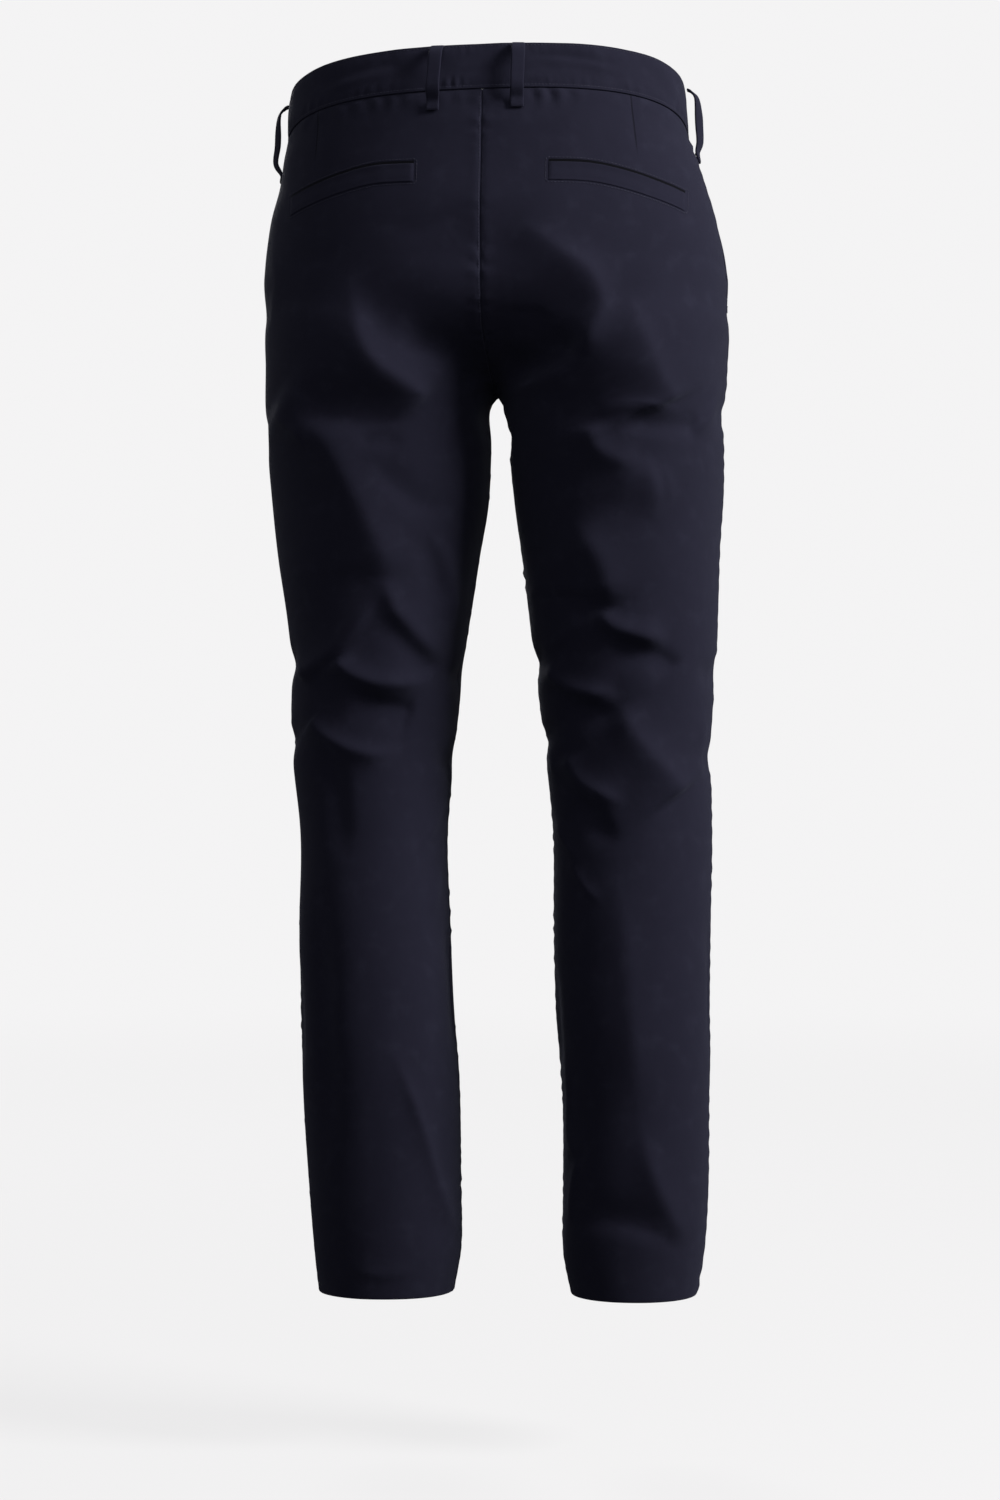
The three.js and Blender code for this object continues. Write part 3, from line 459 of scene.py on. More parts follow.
CALF_FOLDS = [
    {"line": [(139, -622), (139, -697), (135, -785), (129, -874)], "height": -3.2, "flanks": (9, 13)},
    {"line": [(80, -762), (59, -820), (45, -874), (33, -922)], "height": 2.6, "flanks": (8, 7), "end": 0.15},
    {"line": [(41, -616), (45, -641), (50, -662)], "height": 1.2, "flanks": (5, 4)},
    {"line": [(-106, -610), (-115, -695), (-121, -772), (-126, -843)], "height": 2.8, "flanks": (22, 18)},
    {"line": [(-65, -609), (-78, -633), (-96, -650)], "height": 1.6, "flanks": (6, 6)},
    {"line": [(-61, -764), (-65, -807), (-64, -841), (-73, -861)],
     "height": 1.3, "flanks": (4, 4), "end": 0.1},
    {"line": [(-73, -861), (-68, -886), (-66, -920)], "height": 1.2, "flanks": (4, 4), "start": 0.1},
    {"line": [(-122, -813), (-137, -874), (-162, -933)],
     "height": 3.8, "flanks": (16, 15), "start": 0.5, "end": 0.2},
    {"line": [(-65, -915), (-104, -908), (-139, -917), (-162, -933)], "height": -3.0, "flanks": (10, 17)},
    {"line": [(117, -950), (85, -955), (54, -948)], "height": 1.0, "flanks": (7, 9)},
]
print("folds on the back:", len(SEAT_FOLDS + KNEE_FOLDS + CALF_FOLDS))

# %% Table of folds on the sides that the picture doesn't show
CROTCH_FOLDS = [
    {"line": [(14, -188), (60, -172), (122, -144)], "height": -3.8, "flanks": (12, 14)},
    {"line": [(14, -204), (66, -190), (130, -166)], "height": 3.0, "flanks": (9, 9)},
    {"line": [(18, -218), (70, -208), (136, -190)], "height": -3.4, "flanks": (10, 12)},
    {"line": [(-14, -194), (-56, -176), (-116, -154)], "height": -3.9, "flanks": (13, 12)},
    {"line": [(-14, -209), (-62, -195), (-126, -178)], "height": 2.8, "flanks": (9, 10)},
    {"line": [(-18, -224), (-72, -215), (-140, -201)], "height": -3.2, "flanks": (11, 11)},
]
SHIN_FOLDS = [
    {"line": [(58, -506), (102, -520), (150, -506)], "height": -3.6, "flanks": (14, 16)},
    {"line": [(64, -472), (106, -480), (152, -468)], "height": -2.8, "flanks": (12, 13)},
    {"line": [(52, -700), (88, -762), (110, -834)], "height": -2.4, "flanks": (13, 16)},
    {"line": [(50, -918), (94, -927), (142, -914)], "height": -2.6, "flanks": (11, 10)},
    {"line": [(-66, -500), (-112, -516), (-162, -508)], "height": -3.8, "flanks": (15, 15)},
    {"line": [(-74, -548), (-112, -557), (-158, -550)], "height": -2.6, "flanks": (12, 14)},
    {"line": [(-92, -688), (-122, -770), (-130, -856)], "height": -2.3, "flanks": (14, 14)},
    {"line": [(-74, -912), (-118, -922), (-166, -911)], "height": -2.7, "flanks": (10, 12)},
]
LEFT_SIDE_FOLDS = [
    {"line": [(-46, -248), (2, -262), (52, -256)], "height": -2.8, "flanks": (13, 13)},
    {"line": [(52, -436), (8, -452), (-36, -441)], "height": -2.9, "flanks": (11, 12)},
    {"line": [(56, -498), (8, -516), (-44, -504)], "height": -2.6, "flanks": (12, 11)},
    {"line": [(18, -690), (30, -740), (26, -800)], "height": -1.8, "flanks": (12, 12)},
]
RIGHT_SIDE_FOLDS = [
    {"line": [(-50, -232), (0, -244), (58, -250)], "height": -2.6, "flanks": (12, 14)},
    {"line": [(54, -452), (10, -462), (-40, -448)], "height": -2.8, "flanks": (12, 11)},
    {"line": [(50, -520), (4, -534), (-42, -520)], "height": -2.7, "flanks": (11, 13)},
    {"line": [(24, -650), (12, -720), (20, -790)], "height": -1.9, "flanks": (13, 12)},
]
print("other folds:", len(CROTCH_FOLDS + SHIN_FOLDS + LEFT_SIDE_FOLDS + RIGHT_SIDE_FOLDS))

# %% All folds, with the side that each lies on
# For each side: the axis that a line's places run along, the axis that the cloth faces, and its sign.
FOLD_SIDES = {"back": (0, 1, 1), "front": (0, 1, -1), "left": (1, 0, 1), "right": (1, 0, -1)}
FOLD_TABLES = {
    "back": SEAT_FOLDS + KNEE_FOLDS + CALF_FOLDS,
    "front": CROTCH_FOLDS + SHIN_FOLDS,
    "left": LEFT_SIDE_FOLDS,
    "right": RIGHT_SIDE_FOLDS,
}
FOLDS = [(side, fold) for side, folds in FOLD_TABLES.items() for fold in folds]
LINE_STEPS = 24
FOLD_FACING = (0.1, 0.5)
RUN_OUT = 0.35
# How much a ridge and a hollow are raised over their table heights, and how round a ridge's crest is.
RIDGE = 1.55
HOLLOW = 1.3
CREST = 0.32
print("folds in all:", len(FOLDS))


# %% Height of the folds at many points
def bent_line(places, steps=LINE_STEPS):
    """A smooth line through a few places, by distance along them."""
    places = np.array(places, float)
    padded = np.vstack([2 * places[0] - places[1], places, 2 * places[-1] - places[-2]])
    t = np.linspace(0, len(places) - 1, steps + 1)
    i = np.minimum(t.astype(int), len(places) - 2)
    f = (t - i)[:, None]
    a, b, c, d = (padded[i + k] for k in range(4))
    return 0.5 * (2 * b + (c - a) * f + (2 * a - 5 * b + 4 * c - d) * f**2 + (3 * b - a - 3 * c + d) * f**3)


def line_distance(u, v, line):
    """Signed distance to a line, minus on its left, and how far along it the nearest place is, 0 to 1."""
    best = np.full(u.shape, 1e9)
    signed = np.zeros(u.shape)
    along = np.zeros(u.shape)
    lengths = np.linalg.norm(np.diff(line, axis=0), axis=1)
    sums = np.concatenate([[0], np.cumsum(lengths)])
    for i in range(len(line) - 1):
        du, dv = line[i + 1] - line[i]
        pu, pv = u - line[i, 0], v - line[i, 1]
        t = np.clip((pu * du + pv * dv) / lengths[i] ** 2, 0, 1)
        distance = np.hypot(pu - t * du, pv - t * dv)
        closer = distance < best
        side = np.sign(dv * pu - du * pv)
        best = np.where(closer, distance, best)
        signed = np.where(closer, distance * side, signed)
        along = np.where(closer, (sums[i] + t * lengths[i]) / sums[-1], along)
    return signed, along


def fold_height(points, normals, folds):
    total = np.zeros(points.shape[:-1])
    for side, fold in folds:
        across, axis, sign = FOLD_SIDES[side]
        u, v = points[..., across], points[..., 2]
        facing = normals[..., axis] * sign
        line = bent_line(fold["line"])
        reach = 3 * max(fold["flanks"])
        near = (u > line[:, 0].min() - reach) & (u < line[:, 0].max() + reach)
        near &= (v > line[:, 1].min() - reach) & (v < line[:, 1].max() + reach)
        near &= facing > FOLD_FACING[0]
        if not near.any():
            continue
        signed, along = line_distance(u[near], v[near], line)
        share = signed / np.where(signed < 0, *fold["flanks"])
        if fold["height"] > 0:
            profile = RIDGE * np.exp(-1.5 * (np.hypot(share, CREST) - CREST))
        else:
            profile = HOLLOW * bell(share, 1)
        grows = ease(0, fold.get("start", RUN_OUT), along)
        ends = grows * ease(0, fold.get("end", RUN_OUT), 1 - along)
        visible = ease(*FOLD_FACING, facing[near])
        total[near] += fold["height"] * profile * ends * visible
    return total


print("folds:", len(FOLDS))


# %% [markdown]
# ## Cutting the panels
# Each leg is a back and a front panel that meet at the side seam and at the inseam, and the two halves of
# the seat meet in one seam from the waist at the back, under the crotch, to the fly. A panel is a grid: its
# rows run round the leg, and its columns run down it. The rows are packed closely near the seams, where the
# cloth rolls in to the stitching and puckers.

# %% Sizes of seams and edges
# Neighbours overlap by a hair at a seam, so that no light comes through. ROLL is the radius at which an edge
# turns in, WALLS are depths of rows on its cut rim, and HEM_INSET is how far the turned hem stays off a seam.
# WAIST_HOLD is the height over which the folds die away at the waist seam, so that both sides of it meet.
CLOTH = 0.8
SEAM_GAP = -0.1
ROLL = 0.7
WALLS = [0.5, 1.3]
NEAR_SEAM = [0, 0.7, 1.6, 2.8, 4.4, 6.6, 9.4, 12.6]
MIDDLE_COLUMNS = 80
RISE_ROWS = 92
LEG_ROWS = 262
TURNED_ROWS = 8
RAYS = 150
HEM_TURN = 30
HEM_INSET = 1.4
WAIST_HOLD = 9
POCKET_MOUTH = {"width": 45, "depth": 158, "lift": 2.4, "reach": 14}
FLY = {"lap": 8, "length": 172, "push": 2.6, "push_width": 30}
BAND_HEIGHT = 38
FACINGS = {"back": 1, "front": -1}
SIGNS = {"left": 1, "right": -1}
print("cloth of", CLOTH, "mm and a band of", BAND_HEIGHT, "mm")


# %% Lines on the cloth
def line_sums(points):
    return np.concatenate([[0], np.cumsum(np.linalg.norm(np.diff(points, axis=0), axis=1))])


def along_line(points, distances):
    sums = line_sums(points)
    return np.stack([np.interp(distances, sums, points[:, k]) for k in range(3)], axis=-1)


def waist_point(angle, up=0.0):
    """Points on the cloth near the waist. The angle starts at the front and turns to the left."""
    angle, up = np.broadcast_arrays(np.asarray(angle, float), np.asarray(up, float))

    def path(t):
        x = np.sin(angle) * t
        y = HIP_MIDDLE - np.cos(angle) * t
        return x, y, waist_level(x, y) + up

    return crossing(path, angle.shape)


def seat_seam():
    """The seam from the waist at the back, under the crotch, to the waist at the front, in two halves."""
    angle = np.radians(np.linspace(60, -240, 721))

    def path(t):
        z = -110 + t * np.sin(angle)
        return middle_x(z), 8 + t * np.cos(angle), z

    points = crossing(path, angle.shape)
    points = points[points[:, 2] < waist_level(0, points[:, 1]) - 0.5]
    points = np.vstack([waist_point(math.pi)[None], points, waist_point(0.0)[None]])
    lowest = int(points[:, 2].argmin())
    return {"back": points[: lowest + 1], "front": points[lowest:][::-1]}


seat_halves = seat_seam()
crotch = seat_halves["back"][-1]
print("crotch:", np.round(crotch, 1), "back seam:", round(line_sums(seat_halves["back"])[-1]), "mm")


# %% Rows of a panel
# tilt_fades: how far down the rows still follow the tilt of the waist. rays_from: the level down to which the
# rays of every row start from the same place. Below the crotch the inseam moves to the middle of the leg
# over inseam_moves, and its lift is gone after lift_fades.
ROWS = {"tilt_fades": 150, "rays_from": -120, "inseam_moves": 110, "lift_fades": 180}


def row_lines(sign, face, level, guarded, spread_start=0.0, spread_end=0.0):
    """One line for each level, on the cloth from the side seam to the seat seam or the inseam."""
    facing = FACINGS[face]
    level = level[:, None]
    spread_end = np.broadcast_to(spread_end, level.shape[:1])[:, None]
    share = np.clip(level / CROTCH_SIDE_LEVEL, 0, 1)
    follow = 1 - ease(0, ROWS["tilt_fades"], -level)
    low = np.minimum(level, ROWS["rays_from"])
    axis_x = sign * (legs[sign]["outer"](low) + legs[sign]["inner"](low)) / 2
    axis_y = depths["middle"](level)

    def flat_height(x, y):
        return level + follow * waist_level(x, y)

    def own_side(x, z):
        return (sign * (x - middle_x(z)) > 0) | ~guarded[:, None]

    def to_side(t):
        x = axis_x + sign * t
        return x, axis_y + 0 * t, flat_height(x, axis_y)

    below = CROTCH_SIDE_LEVEL - level
    inseam_y = mix(crotch[1], axis_y, ease(0, ROWS["inseam_moves"], below))
    lift = (CROTCH_LEVEL - CROTCH_SIDE_LEVEL) * (1 - ease(0, ROWS["lift_fades"], below))

    def to_inseam(t):
        return axis_x - sign * t, inseam_y + 0 * t, level + lift + 0 * t

    side = crossing(to_side, level.shape)
    half = seat_halves[face]
    seam = along_line(half, share[:, 0] * line_sums(half)[-1])[:, None]
    inseam = crossing(to_inseam, level.shape, own_side)
    edge = np.where((level >= CROTCH_SIDE_LEVEL)[..., None], seam, inseam)
    edge_rise = edge[..., 2] - flat_height(edge[..., 0], edge[..., 1])
    edge_angle = np.arctan2(facing * (edge[..., 1] - axis_y), -sign * (edge[..., 0] - axis_x))
    t = np.linspace(0, 1, RAYS + 1)[None]
    angle = mix(math.pi + spread_start, np.maximum(edge_angle, 0) - spread_end, t)

    def path(distance):
        x = axis_x - sign * np.cos(angle) * distance
        y = axis_y + facing * np.sin(angle) * distance
        across = np.clip((side[..., 0] - x) / (side[..., 0] - edge[..., 0]), 0, 1.1)
        return x, y, flat_height(x, y) + edge_rise * across

    points = crossing(path, angle.shape, own_side)
    exact = spread_end[:, 0] == 0
    points[exact, -1] = edge[exact, 0]
    return points


print("rows of a panel:", RISE_ROWS + LEG_ROWS + TURNED_ROWS)


# %% Edges of the front: pocket mouth and fly
def mouth_width(level):
    return POCKET_MOUTH["width"] * np.clip(1 + level / POCKET_MOUTH["depth"], 0, 1)


def mouth_lift(level, distance):
    along = np.clip(-level / POCKET_MOUTH["depth"], 0, 1)
    return POCKET_MOUTH["lift"] * np.sin(math.pi * along**1.6) * bell(distance, POCKET_MOUTH["reach"])


def fly_lap(level):
    return FLY["lap"] * (1 - ease(FLY["length"] - 30, FLY["length"] - 8, -level))


def fly_push(x, level):
    near = 1 - ease(FLY["push_width"] / 3, FLY["push_width"], np.abs(x))
    return FLY["push"] * near * (1 - ease(FLY["length"] - 8, FLY["length"] + 12, -level))


def uneven_wave(value, shortest, longest, seed, count=7):
    """A wave with no regular beat: several sines of different lengths, the same at each run."""
    numbers = np.random.default_rng(seed)
    total = np.zeros(np.shape(value))
    for _ in range(count):
        length = numbers.uniform(shortest, longest)
        total += numbers.uniform(0.5, 1) * np.sin(2 * math.pi * value / length + numbers.uniform(0, 6.3))
    return total / math.sqrt(count)


print("mouth width at the waist:", mouth_width(0), "lap of the fly:", fly_lap(0))


# %% Rows and columns of a panel's grid
def rolled_edge():
    """Rows of an edge that rolls in, from its cut rim on: how far back from the edge, and how deep."""
    turn = np.radians([90, 60, 30])
    back = np.concatenate([np.zeros(len(WALLS)), ROLL - ROLL * np.sin(turn)])
    depth = np.concatenate([ROLL + np.array(WALLS[::-1]), ROLL * (1 - np.cos(turn))])
    return back, depth


def panel_rows():
    """Level and extra depth of every row, and whether it is turned inside: waist, leg, hem and hem turn."""
    back, waist_depth = rolled_edge()
    waist_edge = -(SEAM_GAP + CLOTH) / 2
    hem_edge = HEM_LEVEL + CLOTH / 2
    rise = np.linspace(waist_edge - ROLL, CROTCH_SIDE_LEVEL, RISE_ROWS, endpoint=False)
    leg = np.linspace(CROTCH_SIDE_LEVEL, hem_edge + ROLL, LEG_ROWS)
    turn = np.radians([30, 60, 90, 120, 150, 180])
    rounding = hem_edge + ROLL * (1 - np.sin(turn))
    up = np.linspace(HEM_LEVEL + 4, HEM_LEVEL + HEM_TURN, TURNED_ROWS)
    plain_rows = np.zeros(RISE_ROWS + LEG_ROWS)
    turned = np.ones(TURNED_ROWS)
    level = np.concatenate([waist_edge - back, rise, leg, rounding, up])
    depth = np.concatenate([waist_depth, plain_rows, ROLL * (1 - np.cos(turn)), 2 * ROLL * turned])
    turning = ease(0, 1, np.linspace(0, 1, len(turn)))
    inside = np.concatenate([np.zeros(len(back)), plain_rows, turning, turned])
    return level, depth, inside


def panel_columns(start, end, inside):
    """Distance along each row line and extra depth of every column, for rows from start to end."""
    back, rim_depth = rolled_edge()
    near = np.concatenate([back, ROLL + np.array(NEAR_SEAM)])[None]
    first = ((SEAM_GAP + CLOTH) / 2 + HEM_INSET * inside)[:, None]
    head = start[:, None] + first + near
    tail = end[:, None] - first - near
    share = (np.arange(MIDDLE_COLUMNS) + 1)[None] / (MIDDLE_COLUMNS + 1)
    middle = mix(head[:, -1:], tail[:, -1:], share)
    distance = np.concatenate([head, middle, tail[:, ::-1]], axis=1)
    edge = np.concatenate([rim_depth, np.zeros(len(NEAR_SEAM))])
    depth = np.concatenate([edge, np.zeros(MIDDLE_COLUMNS), edge[::-1]])
    return distance, depth


print("rows:", len(panel_rows()[0]))

# %% [markdown]
# ## Shells
# Cloth has two sides and a cut edge, so each piece is a closed shell: one sheet pushed out, one pushed in,
# and a rim between. Solidify could do it, but here the grid is known, so writing both sides directly is
# quicker and keeps the edges clean. The UV map is in metres along the cloth, so the weave keeps one size.


# %% Closed shell from a grid
def grid_normals(grid, wraps=False):
    if wraps:
        around = np.roll(grid, -1, axis=1) - np.roll(grid, 1, axis=1)
    else:
        around = np.gradient(grid, axis=1)
    normal = np.cross(np.gradient(grid, axis=0), around)
    length = np.linalg.norm(normal, axis=-1, keepdims=True)
    return normal / np.maximum(length, 1e-9)


def grid_faces(rows, columns, start=0, flip=False):
    index = start + np.arange(rows * columns).reshape(rows, columns)
    corners = [index[:-1, :-1], index[1:, :-1], index[1:, 1:], index[:-1, 1:]]
    faces = np.stack(corners, axis=-1).reshape(-1, 4)
    return faces[:, ::-1] if flip else faces


def new_piece(name, vertices, faces, uv, attributes, sharp_angle):
    """A mesh object in metres from points in millimetres, smooth apart from its sharp edges."""
    mesh = bpy.data.meshes.new(name)
    mesh.from_pydata((vertices / 1000).tolist(), [], faces)
    mesh.polygons.foreach_set("use_smooth", [True] * len(mesh.polygons))
    corner = np.empty(len(mesh.loops), int)
    mesh.loops.foreach_get("vertex_index", corner)
    layer = mesh.uv_layers.new(name="cloth")
    layer.data.foreach_set("uv", (uv[corner] / 1000).ravel())
    for label, values in attributes.items():
        attribute = mesh.attributes.new(label, "FLOAT", "POINT")
        attribute.data.foreach_set("value", np.asarray(values, np.float32).ravel())
    mesh.set_sharp_from_angle(angle=math.radians(sharp_angle))
    mesh.update()
    return in_scene(name, mesh)


def shell(name, middle, thickness, uv, attributes=None):
    """A closed sheet of even thickness round a grid of points, with a rim along its four edges."""
    rows, columns = middle.shape[:2]
    half = grid_normals(middle) * thickness / 2
    count = rows * columns
    vertices = np.concatenate([middle + half, middle - half]).reshape(-1, 3)
    index = np.arange(count).reshape(rows, columns)
    rim = np.concatenate([index[:-1, 0], index[-1, :-1], index[:0:-1, -1], index[0, :0:-1]])
    after = np.roll(rim, -1)
    sides = np.stack([after, rim, rim + count, after + count], axis=-1)
    faces = np.concatenate([grid_faces(rows, columns), grid_faces(rows, columns, count, True), sides])
    both = {label: np.concatenate([values.ravel()] * 2) for label, values in (attributes or {}).items()}
    uv = np.concatenate([uv.reshape(-1, 2)] * 2)
    return new_piece(name, vertices, faces.tolist(), uv, both, 70)


def stand_for(piece, node):
    """Makes a piece ride with the trousers in place of the solid of that name."""
    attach(piece, "root")
    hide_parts(node)
    return piece


print("shell and piece helpers ready")


# %% [markdown]
# ## The four panels
# The outside of each panel is the form, moved by the folds and a slight slackness. Along each seam it dips
# and puckers, and the same puckers run over both panels of a seam, because one thread gathers both.

# %% How the panels' cloth moves off the form
SLACK = 0.45
SEAM = {"dip": 0.55, "dip_width": 2.4, "swell": 0.22, "swell_at": 5.5, "swell_width": 3.5}
PUCKERS = {"height": 0.95, "start": 3.5, "reach": 8.5}
SEAT_PUCKERS = 2.0
WAIST_PUCKERS = 1.6
# Every seam has its own beat of puckers, chosen by a number.
BEATS = {"side": {1: 21, -1: 22}, "seat": 31, "inseam": {1: 34, -1: 32}, "waist": 41}
# One dart takes in the waist of each back: x and level of its top and of its tip.
DARTS = {"left": [(138, 4), (140, -46)], "right": [(-118.5, 10), (-125, -46)]}
DART = {"dip": 0.5, "width": 2.6, "fades_from": 0.62, "none": 50.0}


def slackness(points):
    u, v = points[..., 0], points[..., 2]
    side = np.where(points[..., 1] > 0, 0.0, 71.0)
    first = uneven_wave(u + 0.35 * v + side, 48, 95, 11)
    second = uneven_wave(v - 0.30 * u + side, 70, 150, 12)
    return SLACK * (first + second) / 1.6


def seam_relief(distance, level, beat, puckers=1.0):
    """How the cloth dips to a seam at this distance from it, and how it puckers along it."""
    dip = -SEAM["dip"] * bell(distance, SEAM["dip_width"])
    swell = SEAM["swell"] * bell(distance - SEAM["swell_at"], SEAM["swell_width"])
    wave = uneven_wave(level, 8, 17, beat) * (0.55 + 0.45 * uneven_wave(level, 60, 140, beat + 50))
    near = ease(0, PUCKERS["start"], distance) * bell(distance, PUCKERS["reach"])
    return dip + swell + puckers * PUCKERS["height"] * wave * near


def dart_place(points, side):
    """Signed distance from the dart's line, and how much of the dart is left: 1 at its top, 0 at its tip."""
    line = np.array(DARTS[side], float)
    signed, along = line_distance(points[..., 0], points[..., 2], line)
    above_tip = points[..., 2] > line[1, 1] - 4
    return signed, (1 - ease(DART["fades_from"], 1.0, along)) * above_tip


print("darts:", DARTS)


# %% Grid of a panel
def lapped_ends(lines, whole, lap):
    """Where each row ends: at the seam, or as far past it as the left front laps over the right."""
    end = whole.copy()
    for i in np.flatnonzero(lap > 0.01):
        order = lines[i, RAYS // 2 :, 0][::-1]
        sums = line_sums(lines[i])[RAYS // 2 :][::-1]
        end[i] = np.interp(-lap[i], order, sums)
    return end


def panel_grid(side, face):
    """All rows and columns of a panel on the bare form, and where they lie between the panel's edges."""
    is_front = face == "front"
    level, row_depth, inside = panel_rows()
    lap = fly_lap(level) if is_front and side == "left" else 0 * level
    lapping = lap > 0.01
    lines = row_lines(SIGNS[side], face, level, ~lapping, 0.0, np.where(lapping, 0.12, 0.0))
    mouth = mouth_width(level) if is_front else 0 * level
    whole = np.array([line_sums(line)[-1] for line in lines])
    end = lapped_ends(lines, whole, lap)
    distance, column_depth = panel_columns(mouth, end, inside)
    points = np.stack([along_line(line, row) for line, row in zip(lines, distance)])
    waist_corner = np.minimum(row_depth[:, None], column_depth[None]) * (level > -5)[:, None]
    grid = {"level": level, "levels": np.broadcast_to(level[:, None], distance.shape), "inside": inside}
    grid.update({"points": points, "normal": outward(points), "distance": distance})
    grid.update({"mouth": mouth, "end": end, "whole": whole, "lapping": lapping})
    grid["depth"] = CLOTH / 2 + row_depth[:, None] + column_depth[None] - 0.8 * waist_corner
    return grid


def panel_relief(side, face, grid):
    """How far the cloth lies off the form at each point, with the distances that the material reads."""
    sign = SIGNS[side]
    points, levels = grid["points"], grid["levels"]
    near_side = grid["distance"] - grid["mouth"][:, None]
    near_middle = grid["end"][:, None] - grid["distance"]
    hold = ease(0, WAIST_HOLD, -levels)
    relief = hold * (fold_height(points, grid["normal"], FOLDS) + slackness(points))
    side_seam = hold * seam_relief(near_side, levels, BEATS["side"][sign])
    relief += np.where(grid["mouth"][:, None] > 0, mouth_lift(levels, near_side), side_seam)
    seat_seam = seam_relief(near_middle, levels, BEATS["seat"], SEAT_PUCKERS)
    inseam = seam_relief(near_middle, levels, BEATS["inseam"][sign])
    middle_seam = hold * np.where(levels > CROTCH_SIDE_LEVEL, seat_seam, inseam)
    relief += np.where(grid["lapping"][:, None], 0.0, middle_seam)
    relief += seam_relief(-levels, points[..., 0], BEATS["waist"], WAIST_PUCKERS) * (levels > -30)
    if face == "front" and side == "right":
        relief -= fly_push(points[..., 0], levels)
    dart_distance, dart_depth = np.full(levels.shape, DART["none"]), np.zeros(levels.shape)
    if face == "back":
        dart_distance, dart_depth = dart_place(points, side)
        relief -= DART["dip"] * hold * dart_depth * bell(dart_distance, DART["width"])
    marks = {"seam_distance": np.minimum(near_side, near_middle) / 1000}
    marks.update({"dart_distance": dart_distance / 1000, "dart_depth": dart_depth})
    return relief, marks


print("grid helpers ready, with", MIDDLE_COLUMNS, "columns in the middle")


# %% The four panels
def make_panel(side, face):
    """A panel's shell, and its grid with the finished outside for the stitching and the cut."""
    grid = panel_grid(side, face)
    relief, marks = panel_relief(side, face, grid)
    grid["outside"] = grid["points"] + grid["normal"] * relief[..., None]
    grid["down"] = line_sums(grid["points"][:, grid["distance"].shape[1] // 2])
    middle = grid["outside"] - grid["normal"] * grid["depth"][..., None]
    facing = SIGNS[side] * FACINGS[face]
    across = facing * (grid["distance"] - grid["whole"][:, None] / 2)
    uv = np.stack(np.broadcast_arrays(across, -grid["down"][:, None]), -1)
    if facing > 0:
        middle, uv = middle[:, ::-1], uv[:, ::-1]
        marks = {name: values[:, ::-1] for name, values in marks.items()}
    piece = shell(f"{face}_panel_{side}", middle, CLOTH, uv, marks)
    return stand_for(piece, f"{face}_{side}"), grid


panels = {}
panel_grids = {}
for face in FACINGS:
    for side in SIGNS:
        panels[face, side], panel_grids[face, side] = make_panel(side, face)
        print(panels[face, side].name, len(panels[face, side].data.polygons) * 2, "triangles")

# %% [markdown]
# ## Waistband
# The band is one straight strip, folded along its top and closed round a stiff inner layer, so it is a flat
# tube: soft corners, a slight swell between its two rows of stitching, and a dip along each row. It creases
# along its length where it bends in wear. A ring of section points swept round the waist gives all of that.


# %% Flat tubes swept along a path
def swept(name, rings, uv, attributes=None):
    """A closed strip through rings of section points, with both ends closed and its faces outward."""
    count, around = rings.shape[:2]
    index = np.arange(count * around).reshape(count, around)
    ahead = np.roll(index, -1, axis=1)
    faces = np.stack([index[:-1], ahead[:-1], ahead[1:], index[1:]], axis=-1).reshape(-1, 4)
    vertices = rings.reshape(-1, 3)
    corners = vertices[faces] - vertices.mean(axis=0)
    volume = np.einsum("ij,ij->i", corners[:, 0], np.cross(corners[:, 1], corners[:, 2])).sum()
    volume += np.einsum("ij,ij->i", corners[:, 0], np.cross(corners[:, 2], corners[:, 3])).sum()
    ends = [index[0][::-1].tolist(), index[-1].tolist()]
    if volume < 0:
        faces = faces[:, ::-1]
        ends = [cap[::-1] for cap in ends]
    return new_piece(name, vertices, faces.tolist() + ends, uv.reshape(-1, 2), attributes or {}, 60)


print("tube helper ready")


# %% Section of the waistband
BAND = {"proud": 0.6, "thickness": 2.8, "overlap": 12, "underlap": 28, "ramp": 32, "swell": 0.45}
BAND_ROUNDING = {"low": 0.8, "high": 1.3}
BAND_ROWS = {"top": 35.8, "bottom": 2.4}
BAND_STEPS = 430
BAND_REACH = 150
BAND_CREASES = [
    {"line": [(-30, 27.5), (-72, 26.0), (-112, 21.5)], "height": -1.0, "flanks": (2.6, 4.2)},
    {"line": [(-36, 22.0), (-78, 20.5), (-120, 16.0)], "height": 0.6, "flanks": (3.0, 4.0)},
    {"line": [(70, 19.0), (102, 15.5), (140, 12.5)], "height": 0.9, "flanks": (3.4, 3.0)},
    {"line": [(66, 27.0), (100, 24.0), (128, 21.0)], "height": -0.7, "flanks": (3.2, 3.4)},
    {"line": [(-10, 17.0), (8, 15.0), (26, 16.0)], "height": -0.4, "flanks": (3.0, 4.0)},
]


def rounded_corner(out, up, radius, first):
    """Three points of a quarter round about a centre, from an angle in degrees on."""
    turn = np.radians([first, first + 30, first + 60])
    return np.stack([out + radius * np.cos(turn), up + radius * np.sin(turn)], -1)


